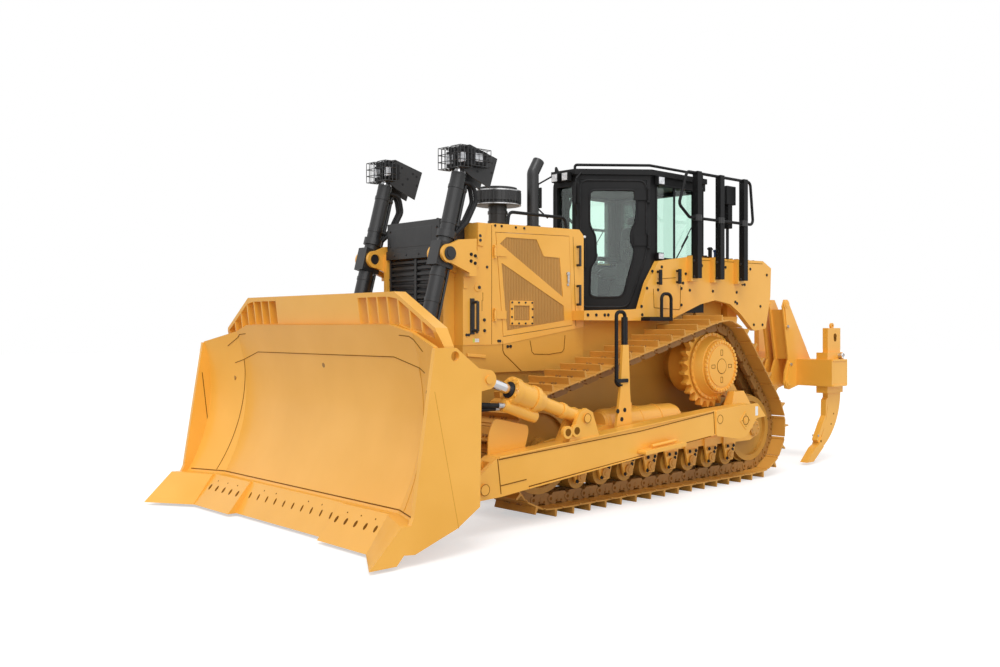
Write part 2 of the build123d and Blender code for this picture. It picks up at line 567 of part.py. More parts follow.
tilt_ear = plate([(1150, 700), (1250, 960), (1335, 1000), (1420, 960), (1560, 700)], TILT_Y - 90, TILT_Y + 90)
tilt_ear -= block((1100, 1600), (TILT_Y - 50, TILT_Y + 50), (790, 1100))
push_arm += tilt_ear + disc(TILT_BASE, TILT_PIN_RADIUS, TILT_Y - 90, TILT_Y + 100)
save("push_arms", both(push_arm))

# ---------------------------------------------------------------- blade
HALF_BLADE = BLADE_WIDTH / 2
WING_END = HALF_BLADE - END_PLATE
CHAMFER = ((1212.0, BLADE_TOP), (HALF_BLADE, 1577.0))     # (y, z) ends of the moldboard's sloping top


def arc_x(z, behind=0.0):
    """x of the moldboard's face at a height, or of a face behind it."""
    return BLADE_ARC[0] - sqrt((BLADE_ARC[2] + behind) ** 2 - (z - BLADE_ARC[1]) ** 2)


def section_at(y, shift):
    """The curved plate's side section at y, moved forward by shift."""
    faces = []
    for behind in (0.0, MOLDBOARD_SKIN):
        faces.append([(arc_x(z, behind) + shift, z) for z in (BLADE_BOTTOM, BLADE_ARC[1], BLADE_TOP)])
    front = ThreePointArc(*faces[0])
    back = ThreePointArc(*reversed(faces[1]))
    face = make_face(Wire([front, Line(front @ 1, back @ 0), back, Line(back @ 1, front @ 0)]))
    return Location((0, y, 0)) * (Plane.XZ * face)


def above_slope(start, end, over, x0, x1):
    """A prism over a sloping line of (y, z) points, to cut a plate's top corner."""
    face = make_face(Polyline(start, end, (end[0], over), (start[0], over), close=True))
    return extrude(Plane.YZ * face, amount=x1 - x0).moved(Location((x0, 0, 0)))


moldboard = extrude(section_at(-CENTRE_HALF, 0), amount=2 * CENTRE_HALF, dir=(0, 1, 0))
wing = loft([section_at(CENTRE_HALF, 0), section_at(WING_END, WING_AHEAD)])
moldboard = moldboard + wing + mirrored(wing)
corner = above_slope(CHAMFER[0], (HALF_BLADE + 1, CHAMFER[1][1]), BLADE_TOP + 10, 2900, 3600)
moldboard = moldboard - corner - mirrored(corner)
end_plate = plate([(3302, 1578), (3492, 354), (3611, 100), (3482, 87), (3096, 222), (2880, 358), (2863, 1397),
                   (3107, 1577)], WING_END, HALF_BLADE)
end_plate -= disc((3119, 1514), 38, WING_END - 1, HALF_BLADE + 1)
save("moldboard", moldboard, both(end_plate))

EDGE_TOP = 300.0
EDGE_HALF = 780.0         # half the middle cutting edge
SIDE_EDGE_END = 1497.0


def edge_section(foot, top):
    """Side section of a cutting edge from its foot's front x up to its top's front x."""
    return [(arc_x(BLADE_BOTTOM) + 25, BLADE_EDGE_Z), (foot, BLADE_EDGE_Z), (top, EDGE_TOP),
            (arc_x(EDGE_TOP) - 25, EDGE_TOP), (arc_x(BLADE_BOTTOM) - 25, BLADE_BOTTOM)]


def bit_section(points, y):
    return Location((0, y, 0)) * (Plane.XZ * make_face(Polyline(*points, close=True)))


edges = [plate(edge_section(3505, 3345), -EDGE_HALF, EDGE_HALF) - moldboard]
side_edge = plate(edge_section(3585, 3370), EDGE_HALF, SIDE_EDGE_END)
end_bit = loft([
    bit_section([(3440, BLADE_EDGE_Z), (3590, BLADE_EDGE_Z), (3400, EDGE_TOP), (3270, EDGE_TOP), (3400, 115)],
                SIDE_EDGE_END),
    bit_section([(3640, BLADE_EDGE_Z), (BLADE_TIP, BLADE_EDGE_Z), (3600, EDGE_TOP), (3440, EDGE_TOP), (3560, 115)],
                HALF_BLADE),
], ruled=True)
for item in (side_edge, end_bit):
    item = item - moldboard - end_plate
    item = max(item.solids(), key=lambda solid: solid.volume)
    edges += both(item)
save("cutting_edges", edges)

# Rock guard: a plate between slats on edge, closed by a top rail that slopes down at both sides
GUARD_TOP = 2017.0
GUARD_SLOPE = ((1238.0, GUARD_TOP), (1735.0, 1727.0), (1790.0, 1582.0))
GUARD_CENTRE = 700.0
SLAT_PITCH = 146.0
SLAT = 16.0
GUARD_RAIL = 40.0
rock_guard = plate([(2990, 1560), (3110, 1560), (3165, GUARD_TOP), (3055, GUARD_TOP)],
                   -GUARD_SLOPE[2][0], GUARD_SLOPE[2][0])


def guard_line(y):
    (y0, z0), (y1, z1), _ = GUARD_SLOPE
    return min(GUARD_TOP, z0 + (z1 - z0) * (y - y0) / (y1 - y0))


def board_line(y):
    (y0, z0), (y1, z1) = CHAMFER
    return min(BLADE_TOP, z0 + (z1 - z0) * (y - y0) / (y1 - y0))


cuts = [above_slope(GUARD_SLOPE[0], GUARD_SLOPE[1], 2100, 2950, 3250),
        above_slope(GUARD_SLOPE[1], (GUARD_SLOPE[2][0] + 1, GUARD_SLOPE[2][1]), 2100, 2950, 3250)]
y = GUARD_CENTRE
while y + SLAT_PITCH < GUARD_SLOPE[1][0]:
    y0, y1 = y, y + SLAT_PITCH - SLAT
    slot = [(y0, board_line(y0) + 10), (y1, board_line(y1) + 10), (y1, guard_line(y1) - GUARD_RAIL),
            (y0, guard_line(y0) - GUARD_RAIL)]
    if slot[2][1] > slot[1][1] + 20:
        cuts.append(extrude(Plane.YZ * make_face(Polyline(*slot, close=True)), amount=300).moved(Location((2950, 0, 0))))
    y += SLAT_PITCH
for cut in cuts:
    rock_guard = rock_guard - cut - mirrored(cut)
# The plate behind the slots stays open; the middle is thinned to a sheet
rock_guard -= block((2900, 3075), (-GUARD_CENTRE + SLAT, GUARD_CENTRE - SLAT), (1790, GUARD_TOP - GUARD_RAIL))
rock_guard = rock_guard - moldboard - disc((BLADE_ARC[0], BLADE_ARC[1]), BLADE_ARC[2] + MOLDBOARD_SKIN, -2000, 2000)
save("rock_guard", rock_guard)


def clevis(pin, y, eye_half, wall, radius, back, gap=PIN_GAP):
    """Two ears about an eye: a round end at the pin, running to a rear edge at (x, z0, z1)."""
    outline = [(pin[0], pin[1] + radius), (back[0], back[2]), (back[0], back[1]), (pin[0], pin[1] - radius)]
    ears = []
    for side in (-1, 1):
        near = y + side * (eye_half + gap)
        low, high = sorted((near, near + side * wall))
        ears.append(plate(outline, low, high) + disc(pin, radius, low, high))
    return ears


LIFT_EYE_HALF = 42.0
TILT_EYE_HALF = 48.0
STRUCTURE_HALF = 1560.0
STRUCTURE_REAR = 2880.0
RIB_Y = (300.0, 900.0, 1200.0)
blade_back = plate([(STRUCTURE_REAR, 250), (STRUCTURE_REAR, 640), (3200, 640), (3330, 250)],
                   -STRUCTURE_HALF, STRUCTURE_HALF)
blade_back += plate([(2930, 1150), (2930, 1480), (3200, 1480), (3200, 1150)], -STRUCTURE_HALF, STRUCTURE_HALF)
for side in (-1, 1):
    for y in RIB_Y:
        blade_back += plate([(STRUCTURE_REAR, 640), (2930, 1150), (3200, 1150), (3200, 640)], side * y - 15, side * y + 15)
    tower = plate([(STRUCTURE_REAR, 600), (STRUCTURE_REAR, 1480), (3200, 1480), (3200, 600)],
                  side * TILT_Y - 90, side * TILT_Y + 90)
    blade_back += tower
blade_back -= disc((BLADE_ARC[0], BLADE_ARC[1]), BLADE_ARC[2] + MOLDBOARD_SKIN, -2000, 2000)
ears = []
for side in (-1, 1):
    for ear in clevis(LIFT_EYE, side * LIFT_Y, LIFT_EYE_HALF, 30, 75, (2900, 420, 635)):
        ears.append(ear - blade_back)
    for ear in clevis(TILT_EYE, side * TILT_Y, TILT_EYE_HALF, 30, 80, (2900, 1150, 1450)):
        ears.append(ear - blade_back)
    for eye, radius, y, half in ((LIFT_EYE, LIFT_PIN_RADIUS, LIFT_Y, LIFT_EYE_HALF + PIN_GAP + 30),
                                 (TILT_EYE, TILT_PIN_RADIUS, TILT_Y, TILT_EYE_HALF + PIN_GAP + 30)):
        for near in (-1, 1):
            face = side * y + near * half
            ears.append(disc(eye, radius, *sorted((face, face + near * 12))))
    low_eye = disc(BLADE_PIN, 70, side * TILT_Y - 40, side * TILT_Y + 40)
    low_eye += block((BLADE_PIN[0], STRUCTURE_REAR + 1), (side * TILT_Y - 40, side * TILT_Y + 40), (340, 470))
    blade_back += bored(low_eye, BLADE_PIN, BLADE_PIN_RADIUS, side * TILT_Y - 40, side * TILT_Y + 40)
save("blade_structure", blade_back, ears)

# ---------------------------------------------------------------- lift and tilt cylinders
LIFT_TOP = -775.0         # the barrel's ends from its trunnion, along the cylinder
LIFT_GLAND = 725.0
LIFT_ROD_REACH = 1556.0   # rod length from its eye up into the barrel
LIFT_WALL = 30.0          # the barrel's closed end
CLAMP = (-100.0, 125.0)   # the trunnion's clamp block along the barrel
CLAMP_HALF = 95.0
CLAMP_SIDE = 74.0
HOSE_RADIUS = 20.0


def lift_barrel():
    start = along(LIFT_TRUNNION, LIFT_EYE, LIFT_TOP)
    length = LIFT_GLAND - LIFT_TOP
    middle = -LIFT_TOP
    shape = turned(start, LIFT_EYE, LIFT_Y, [
        (0, LIFT_BARREL_RADIUS), (middle - 215, LIFT_BARREL_RADIUS), (middle - 215, LIFT_BARREL_RADIUS + 18),
        (middle - 150, LIFT_BARREL_RADIUS + 18), (middle - 150, LIFT_BARREL_RADIUS), (length, LIFT_BARREL_RADIUS)])
    way, _ = towards(LIFT_TRUNNION, LIFT_EYE)
    clamp = [(LIFT_TRUNNION[0] + a * way[0] - b * way[1], LIFT_TRUNNION[1] + a * way[1] + b * way[0])
             for a, b in ((CLAMP[0], -CLAMP_HALF), (CLAMP[0], CLAMP_HALF), (CLAMP[1], CLAMP_HALF), (CLAMP[1], -CLAMP_HALF))]
    shape += plate(clamp, LIFT_Y - CLAMP_SIDE, LIFT_Y + CLAMP_SIDE)
    shape += disc(LIFT_TRUNNION, 50, LIFT_YOKE_Y[0][0] + 15, LIFT_YOKE_Y[1][1])
    bore = turned(start, LIFT_EYE, LIFT_Y, [(LIFT_WALL, LIFT_ROD_RADIUS + RUNNING_GAP),
                                           (length + 1, LIFT_ROD_RADIUS + RUNNING_GAP)])
    return shape - bore


def lift_rod():
    shape = turned(LIFT_EYE, LIFT_TRUNNION, LIFT_Y, [(0, LIFT_ROD_RADIUS), (LIFT_ROD_REACH, LIFT_ROD_RADIUS)])
    shape += disc(LIFT_EYE, 60, LIFT_Y - LIFT_EYE_HALF, LIFT_Y + LIFT_EYE_HALF)
    return shape + disc(LIFT_EYE, 45, LIFT_Y - LIFT_EYE_HALF - EYE_BOSS, LIFT_Y + LIFT_EYE_HALF + EYE_BOSS)


barrel = lift_barrel()
save("lift_barrels", both(barrel))
# Two hoses leave the barrel's head, bow rearwards and end at the clamp block
hoses = []
for y in (LIFT_Y - 32, LIFT_Y + 32):
    hose = tube([(2010, y, 3080), (1870, y, 3060), (1840, y, 2900), (1950, y, 2700), (2090, y, 2580),
                 (2150, y, 2460)], HOSE_RADIUS, 90)
    hoses += both(max((hose - barrel).solids(), key=lambda solid: solid.volume))
save("lift_hoses", hoses)
save("lift_rods", both(lift_rod()))

_, tilt_length = towards(TILT_BASE, TILT_EYE)
TILT_BARREL = (508.0, 985.0)      # the wide barrel's ends from its rear pin
tilt_barrel = turned(TILT_BASE, TILT_EYE, TILT_Y, [
    (0, 42), (220, 42), (290, 62), (TILT_BARREL[0], 80), (TILT_BARREL[0], TILT_BARREL_RADIUS),
    (TILT_BARREL[1] - 45, TILT_BARREL_RADIUS), (TILT_BARREL[1] - 45, TILT_BARREL_RADIUS + 15),
    (TILT_BARREL[1], TILT_BARREL_RADIUS + 15)])
tilt_barrel += disc(TILT_BASE, 78, TILT_Y - 45, TILT_Y + 45)
tilt_barrel -= turned(TILT_BASE, TILT_EYE, TILT_Y, [(560, TILT_ROD_RADIUS + RUNNING_GAP),
                                                    (TILT_BARREL[1] + 1, TILT_ROD_RADIUS + RUNNING_GAP)])
tilt_rod = turned(TILT_EYE, TILT_BASE, TILT_Y, [(0, TILT_ROD_RADIUS), (tilt_length - 700, TILT_ROD_RADIUS)])
tilt_rod += disc(TILT_EYE, 70, TILT_Y - TILT_EYE_HALF, TILT_Y + TILT_EYE_HALF)
tilt_barrel = bored(tilt_barrel, TILT_BASE, TILT_PIN_RADIUS, TILT_Y - 60, TILT_Y + 60)
save("tilt_barrels", both(tilt_barrel))
tilt_rod += disc(TILT_EYE, 52, TILT_Y - TILT_EYE_HALF - EYE_BOSS, TILT_Y + TILT_EYE_HALF + EYE_BOSS)
save("tilt_rods", both(tilt_rod))

# Work lamps on a bracket that stands on the lift barrel's end
barrel_end = along(LIFT_TRUNNION, LIFT_EYE, LIFT_TOP)
stub_end = along(LIFT_TRUNNION, LIFT_EYE, LIFT_TOP - 70)
bracket_outline = [(1946, 3421), (1618, 3326), (1712, 3035), (1930, 3120), (2060, 3200), (2080, 3390)]
lamp = turned(barrel_end, stub_end, LIFT_Y, [(0, 60), (70, 60)])
for side in (-1, 1):
    low, high = sorted((LIFT_Y + side * 70, LIFT_Y + side * 80))
    lamp += plate(bracket_outline, low, high)
lamp += plate([(1946, 3421), (1618, 3326), (1622, 3312), (1946, 3406)], LIFT_Y - 75, LIFT_Y + 75)
lamp += block((1950, 2060), (LIFT_Y - 75, LIFT_Y + 75), (3185, 3395))
for side in (-1, 1):
    near = LIFT_Y + side * 95
    lamp += block((2020, 2130), (near - 75, near + 75), (3190, 3390))
save("lift_lamps", both(lamp))

# ---------------------------------------------------------------- ripper
UPPER_LINK_FRONT = (RIPPER_TOP_PIN[0] - RIPPER_REAR_PIN[0] + RIPPER_FRONT_PIN[0],
                    RIPPER_TOP_PIN[1] - RIPPER_REAR_PIN[1] + RIPPER_FRONT_PIN[1])
LINK_EYE = 75.0
EAR = 28.0
BRACKET_REAR = -2340.0
SIDE_PLATE_Y = (690.0, 710.0)
CYLINDER_EYE_HALF = 45.0

ripper_bracket = block((BRACKET_REAR, HULL_REAR), (-HULL_HALF, HULL_HALF), (800, 2055))
ripper_bracket -= block((BRACKET_REAR - 1, HULL_REAR + 1), (-370, 370), (1000, 1750))
for side in (-1, 1):
    low, high = sorted((side * (LINK_Y[0] - PIN_GAP), side * (LINK_Y[1] + PIN_GAP)))
    for pin, radius in ((RIPPER_FRONT_PIN, RIPPER_PIN_RADIUS), (UPPER_LINK_FRONT, UPPER_PIN_RADIUS)):
        ripper_bracket -= block((-2400, pin[0] + 100), (low, high), (pin[1] - 140, pin[1] + 170))
        ripper_bracket += disc(pin, radius, low - 1, high + 1)
    top = RIPPER_CYLINDER_TOP
    outline = [(BRACKET_REAR + 60, 1760), (BRACKET_REAR + 60, 2055), (top[0], top[1] + 70), (top[0] - 65, top[1]),
               (top[0], top[1] - 70)]
    for near in (-1, 1):
        face = side * RIPPER_CYLINDER_Y + near * (CYLINDER_EYE_HALF + PIN_GAP)
        ripper_bracket += plate(outline, *sorted((face, face + near * EAR)))
    ripper_bracket += disc(top, UPPER_PIN_RADIUS, side * RIPPER_CYLINDER_Y - 78, side * RIPPER_CYLINDER_Y + 78)
save("ripper_bracket", ripper_bracket)

ripper_link = []
for side in (-1, 1):
    low, high = sorted((side * LINK_Y[0], side * LINK_Y[1]))
    arm = plate([(RIPPER_REAR_PIN[0], RIPPER_REAR_PIN[1] - 65), (RIPPER_FRONT_PIN[0], RIPPER_FRONT_PIN[1] - 65),
                 (RIPPER_FRONT_PIN[0], RIPPER_FRONT_PIN[1] + 65), (RIPPER_REAR_PIN[0], RIPPER_REAR_PIN[1] + 65)], low, high)
    arm += disc(RIPPER_REAR_PIN, LINK_EYE, low, high)
    arm += disc(RIPPER_FRONT_PIN, LINK_EYE, low, high)
    for pin in (RIPPER_FRONT_PIN, RIPPER_REAR_PIN):
        arm = bored(arm, pin, RIPPER_PIN_RADIUS, low, high)
    ripper_link.append(arm)
eye_x, eye_z = RIPPER_CYLINDER_EYE
link = ripper_link[0] + ripper_link[1] + block((eye_x - 70, eye_x + 70), (-LINK_Y[0] - 1, LINK_Y[0] + 1), (795, 870))
for side in (-1, 1):
    for near in (-1, 1):
        face = side * RIPPER_CYLINDER_Y + near * (CYLINDER_EYE_HALF + PIN_GAP)
        low, high = sorted((face, face + near * EAR))
        link += plate([(eye_x - 70, 860), (eye_x + 70, 860), (eye_x + 62, eye_z), (eye_x, eye_z + 62),
                       (eye_x - 62, eye_z)], low, high)
    for near in (-1, 1):
        face = side * RIPPER_CYLINDER_Y + near * (CYLINDER_EYE_HALF + PIN_GAP + EAR - 1)
        link += disc(RIPPER_CYLINDER_EYE, UPPER_PIN_RADIUS, *sorted((face, face + near * 12)))
save("ripper_link", link)

upper_links = []
for side in (-1, 1):
    low, high = sorted((side * LINK_Y[0], side * LINK_Y[1]))
    link_tube = turned(UPPER_LINK_FRONT, RIPPER_TOP_PIN, side * (LINK_Y[0] + LINK_Y[1]) / 2,
                       [(0, 38), (towards(UPPER_LINK_FRONT, RIPPER_TOP_PIN)[1], 38)])
    link_tube += disc(UPPER_LINK_FRONT, 60, low, high) + disc(RIPPER_TOP_PIN, 60, low, high)
    for pin in (UPPER_LINK_FRONT, RIPPER_TOP_PIN):
        link_tube = bored(link_tube, pin, UPPER_PIN_RADIUS, low, high)
    upper_links.append(link_tube)
save("ripper_upper_links", upper_links)

beam = block(BEAM_X, (-BEAM_WIDTH / 2, BEAM_WIDTH / 2), BEAM_Z)
side_outline = [
    (RIPPER_TOP_PIN[0] + 72, RIPPER_TOP_PIN[1] - 20), (RIPPER_TOP_PIN[0] + 30, RIPPER_TOP_PIN[1] + 66),
    (RIPPER_TOP_PIN[0] - 40, RIPPER_TOP_PIN[1] + 66), (-3776, BEAM_Z[1] - 1), (-3500, BEAM_Z[0] + 1),
    (RIPPER_REAR_PIN[0] - 40, RIPPER_REAR_PIN[1] - 85), (RIPPER_REAR_PIN[0] + 45, RIPPER_REAR_PIN[1] - 70),
    (RIPPER_REAR_PIN[0] + 75, RIPPER_REAR_PIN[1]), (RIPPER_REAR_PIN[0] + 60, RIPPER_REAR_PIN[1] + 140),
    (RIPPER_REAR_PIN[0] - 20, RIPPER_REAR_PIN[1] + 300),
]
for side in (-1, 1):
    for low, high in ((LINK_Y[0] - PIN_GAP - EAR, LINK_Y[0] - PIN_GAP), (LINK_Y[1] + PIN_GAP, LINK_Y[1] + PIN_GAP + EAR),
                      SIDE_PLATE_Y):
        beam += plate(side_outline, *sorted((side * low, side * high)))
    low, high = sorted((side * (LINK_Y[0] - PIN_GAP - EAR), side * (LINK_Y[1] + PIN_GAP + EAR)))
    beam += disc(RIPPER_REAR_PIN, RIPPER_PIN_RADIUS, low, high) + disc(RIPPER_TOP_PIN, UPPER_PIN_RADIUS, low, high)
    low, high = sorted((side * (SIDE_PLATE_Y[1] - 1), side * (SIDE_PLATE_Y[1] + 16)))
    for pin, foot in ((RIPPER_TOP_PIN, (RIPPER_TOP_PIN[0] - 25, RIPPER_TOP_PIN[1] - 280)),
                      (RIPPER_REAR_PIN, (RIPPER_REAR_PIN[0] - 60, RIPPER_REAR_PIN[1] + 240))):
        beam += disc(pin, 62, low, high) + disc(foot, 34, low, high)
        beam += plate([(pin[0] - 40, pin[1]), (pin[0] + 40, pin[1]), (foot[0] + 26, foot[1]), (foot[0] - 26, foot[1])],
                      low, high)
    low, high = sorted((side * (LINK_Y[1] + PIN_GAP), side * SIDE_PLATE_Y[1]))
    beam += plate([(-3170, 1960), (-3160, 1960), (-3290, 1320), (-3310, 1320)], low, high)
COLLAR = 90.0
SHANK_DEPTH = 310.0
SHANK_TOP = 1720.0
shank_front = -3560.0
shank_rear = shank_front - SHANK_DEPTH
shanks = []
for index in (-1, 0, 1):
    y = index * SHANK_SPACING
    half = SHANK_THICK / 2
    beam += block((shank_rear + 15, shank_front + 80), (y - half - 45, y + half + 45), (BEAM_Z[0] - COLLAR, BEAM_Z[1] + COLLAR))
    beam += disc((shank_rear + 62, BEAM_Z[1] + 45), 34, y - half - 75, y + half + 75)
    beam -= block((shank_rear - 5, shank_front), (y - half, y + half),
                  (BEAM_Z[0] - COLLAR - 1, BEAM_Z[1] + COLLAR + 1))
    front = [(shank_front, SHANK_TOP), (shank_front, 760)]
    curve_in = ThreePointArc((shank_front, 760), (-3490, 470), (-3330, 240))
    curve_out = ThreePointArc((-3440, 200), (shank_rear + 125, 480), (shank_rear, 860))
    outline = Wire([Line(*front), curve_in, Line((-3330, 240), (-3075, 35)), Line((-3075, 35), (-3205, 35)),
                    Line((-3205, 35), (-3440, 200)), curve_out, Line((shank_rear, 860), (shank_rear, SHANK_TOP)),
                    Line((shank_rear, SHANK_TOP), (shank_front, SHANK_TOP))])
    shank = extrude(Plane.XZ * make_face(outline), amount=SHANK_THICK, dir=(0, 1, 0)).moved(Location((0, y - half, 0)))
    tip = [(-3330, 240), (-3240, 200), (-3050, 35), (-3205, 35), (-3440, 200), (-3435, 330), (-3380, 330)]
    guard_top = BEAM_Z[0] - COLLAR - 60
    protector = [(shank_front, guard_top), (shank_front + 42, guard_top - 30), (shank_front + 50, guard_top - 230),
                 (-3440, 510), (-3300, 300), (-3345, 262), (-3500, 480), (shank_front, 760)]
    shank += plate(tip, y - half - 14, y + half + 14) + plate(protector, y - half, y + half)
    lifting_eye = (shank_rear + 155, SHANK_TOP + 30)
    shank += disc(lifting_eye, 36, y - 14, y + 14) - disc(lifting_eye, 18, y - 15, y + 15)
    shank -= disc((shank_rear + 130, 1600), 35, y - half - 1, y + half + 1)
    shanks.append(shank)
save("ripper_beam", beam)
save("ripper_shanks", shanks)

_, ripper_length = towards(RIPPER_CYLINDER_TOP, RIPPER_CYLINDER_EYE)
RIPPER_GLAND = 620.0      # the barrel's open end from its top pin
barrels, rods = [], []
for side in (-1, 1):
    y = side * RIPPER_CYLINDER_Y
    barrel = turned(RIPPER_CYLINDER_TOP, RIPPER_CYLINDER_EYE, y,
                    [(0, 40), (130, 40), (130, RIPPER_BARREL_RADIUS), (RIPPER_GLAND, RIPPER_BARREL_RADIUS)])
    barrel += disc(RIPPER_CYLINDER_TOP, 60, y - CYLINDER_EYE_HALF, y + CYLINDER_EYE_HALF)
    bore = turned(RIPPER_CYLINDER_TOP, RIPPER_CYLINDER_EYE, y,
                  [(160, RIPPER_ROD_RADIUS + 1), (RIPPER_GLAND + 1, RIPPER_ROD_RADIUS + 1)])
    low, high = y - CYLINDER_EYE_HALF, y + CYLINDER_EYE_HALF
    barrels.append(bored(barrel - bore, RIPPER_CYLINDER_TOP, UPPER_PIN_RADIUS, low, high))
    rod = turned(RIPPER_CYLINDER_EYE, RIPPER_CYLINDER_TOP, y, [(0, RIPPER_ROD_RADIUS), (ripper_length - 400, RIPPER_ROD_RADIUS)])
    rod += disc(RIPPER_CYLINDER_EYE, 55, low, high)
    rods.append(rod + disc(RIPPER_CYLINDER_EYE, 45, low - EYE_BOSS, high + EYE_BOSS))
save("ripper_barrels", barrels)
save("ripper_rods", rods)
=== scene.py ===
# %% [markdown]
# # A crawler tractor with a blade and a ripper
# The machine comes from CAD as 45 plain nodes on 16 moving bodies.
# Here it gets what a close look shows: paint that varies, glass, bolts, lamps, grilles, hoses and a seat.
# Everything is in metres: +X is the way it drives, +Y its left side, and the ground is at z = 0.
# %% Load the frame
import math

import bmesh
import bpy
from mathutils import Matrix, Vector


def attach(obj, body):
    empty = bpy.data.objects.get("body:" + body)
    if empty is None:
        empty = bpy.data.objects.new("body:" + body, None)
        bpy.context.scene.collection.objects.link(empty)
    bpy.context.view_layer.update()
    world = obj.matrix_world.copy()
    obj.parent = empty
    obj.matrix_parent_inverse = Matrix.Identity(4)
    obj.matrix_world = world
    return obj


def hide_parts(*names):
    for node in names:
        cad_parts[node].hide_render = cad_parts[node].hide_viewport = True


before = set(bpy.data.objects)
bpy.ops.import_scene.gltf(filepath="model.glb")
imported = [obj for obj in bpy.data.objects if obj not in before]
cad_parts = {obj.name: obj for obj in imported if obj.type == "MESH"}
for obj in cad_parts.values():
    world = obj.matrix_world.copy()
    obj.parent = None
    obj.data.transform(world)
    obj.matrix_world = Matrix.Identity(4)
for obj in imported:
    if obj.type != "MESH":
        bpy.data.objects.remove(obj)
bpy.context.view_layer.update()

# %% [markdown]
# ## Tools of the trade
# Most small things on a machine are turned, sawn or bent stock: boxes, bars, plates and bolts.
# They could be placed by hand in the editor. A few helpers that add such a shape to a bmesh
# keep every later cell short, and put each piece straight where the CAD says it is.
# %% Helpers for stock shapes
SIDES = (-1, 1)      # the machine's right and left, or the two faces of a piece
HANDS = ((1, "left"), (-1, "right"))


def add_box(bm, low, high):
    """A box between two corners."""
    low, high = Vector(low), Vector(high)
    place = Matrix.Translation((low + high) / 2) @ Matrix.Diagonal((*(high - low), 1))
    return bmesh.ops.create_cube(bm, size=1, matrix=place)["verts"]


def along(start, end):
    """The place of a shape whose z axis runs from start to end, centred between them."""
    start, end = Vector(start), Vector(end)
    turn = (end - start).to_track_quat("Z", "Y").to_matrix().to_4x4()
    return Matrix.Translation((start + end) / 2) @ turn


def add_rod(bm, start, end, radius, tip=None, sides=24):
    """A round bar, or a cone with another radius at its tip."""
    length = (Vector(end) - Vector(start)).length
    return bmesh.ops.create_cone(bm, cap_ends=True, segments=sides, radius1=radius,
                                 radius2=radius if tip is None else tip, depth=length,
                                 matrix=along(start, end))["verts"]


def add_bolt(bm, place, out, size=0.03):
    """A hexagon head on a washer. Out is the way that it points, and size is across its corners."""
    place, out = Vector(place), Vector(out).normalized()
    add_rod(bm, place - out * 0.004, place + out * 0.005, size * 0.62, sides=14)
    add_rod(bm, place, place + out * size * 0.42, size * 0.5, sides=6)


def add_plate(bm, outline, y0, y1):
    """A flat plate: its outline in (x, z), and its two faces along y."""
    rim = [bm.verts.new((x, y0, z)) for x, z in outline]
    face = bm.faces.new(rim)
    top = bmesh.ops.extrude_face_region(bm, geom=[face])["geom"]
    moved = [v for v in top if isinstance(v, bmesh.types.BMVert)]
    bmesh.ops.translate(bm, verts=moved, vec=(0, y1 - y0, 0))
    return rim + moved


def add_side_box(bm, side, x, y, z):
    """A box from (low, high) along each axis. Its y is counted outwards, on one side of the machine."""
    y0, y1 = sorted((side * y[0], side * y[1]))
    return add_box(bm, (x[0], y0, z[0]), (x[1], y1, z[1]))


def add_pin(bm, side, place, y, radius, **shape):
    """A bar along y at (x, z), between two distances from the machine's middle plane."""
    x, z = place
    return add_rod(bm, (x, side * y[0], z), (x, side * y[1], z), radius, **shape)


def add_side_bolt(bm, side, place, y, size):
    """A bolt at (x, z) that points outwards from a face at y."""
    add_bolt(bm, (place[0], side * y, place[1]), (0, side, 0), size)


def on_circle(count, radius, first=0.0):
    """Places evenly spaced on a circle, as pairs. The first is at an angle in degrees."""
    for k in range(count):
        angle = math.radians(360 / count * k + first)
        yield radius * math.cos(angle), radius * math.sin(angle)


def add_ring(bm, centre, axis, radius, section, sides=48):
    """A round bar bent to a ring."""
    turn = Vector(axis).to_track_quat("Z", "Y").to_matrix().to_4x4()
    place = Matrix.Translation(centre) @ turn
    start = bmesh.ops.create_circle(bm, segments=8, radius=section,
                                    matrix=place @ Matrix.Translation((radius, 0, 0)) @ Matrix.Rotation(math.pi / 2,
                                            4, "X"))
    edges = [e for e in bm.edges if all(v in set(start["verts"]) for v in e.verts)]
    bmesh.ops.spin(bm, geom=start["verts"] + edges, cent=centre, axis=place.to_3x3() @ Vector((0, 0, 1)),
                   angle=2 * math.pi, steps=sides, use_merge=True)


def piece(bm, name, body, material, smooth=35, rounding=0.0):
    """Makes the bmesh an object that rides on a CAD body, with clean normals and softened edges."""
    bmesh.ops.recalc_face_normals(bm, faces=bm.faces[:])
    mesh = bpy.data.meshes.new(name)
    bm.to_mesh(mesh)
    bm.free()
    mesh.set_sharp_from_angle(angle=math.radians(smooth))
    made = bpy.data.objects.new(name, mesh)
    bpy.context.scene.collection.objects.link(made)
    mesh.materials.append(material)
    if rounding:
        soften(made, rounding)
    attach(made, body)
    print(name, len(mesh.polygons), "faces on", body)
    return made


def soften(made, width, segments=2):
    """A narrow rounding of every sharp edge, which is what catches the light on real sheet metal."""
    bevel = made.modifiers.new("softened edges", "BEVEL")
    bevel.width = width
    bevel.segments = segments
    bevel.limit_method = "ANGLE"
    bevel.angle_limit = math.radians(35)
    bevel.harden_normals = True


# %% [markdown]
# ## Paint, glass, steel and rubber
# Fresh machine paint is thick, a little uneven in tone, with faint orange peel and a soft gloss.
# A single colour would look like a toy, so each finish mixes two near tones by noise,
# and a finer noise moves the roughness and the bump. Object coordinates keep it fixed to the metal.
# %% Helpers for materials
def start_material(name, **sockets):
    """A material with its shader's own sockets set; returns it with its tree and shader."""
    material = bpy.data.materials.new(name)
    material.use_nodes = True
    tree = material.node_tree
    shader = tree.nodes["Principled BSDF"]
    for socket, value in sockets.items():
        shader.inputs[socket.replace("_", " ")].default_value = value
    return material, tree, shader


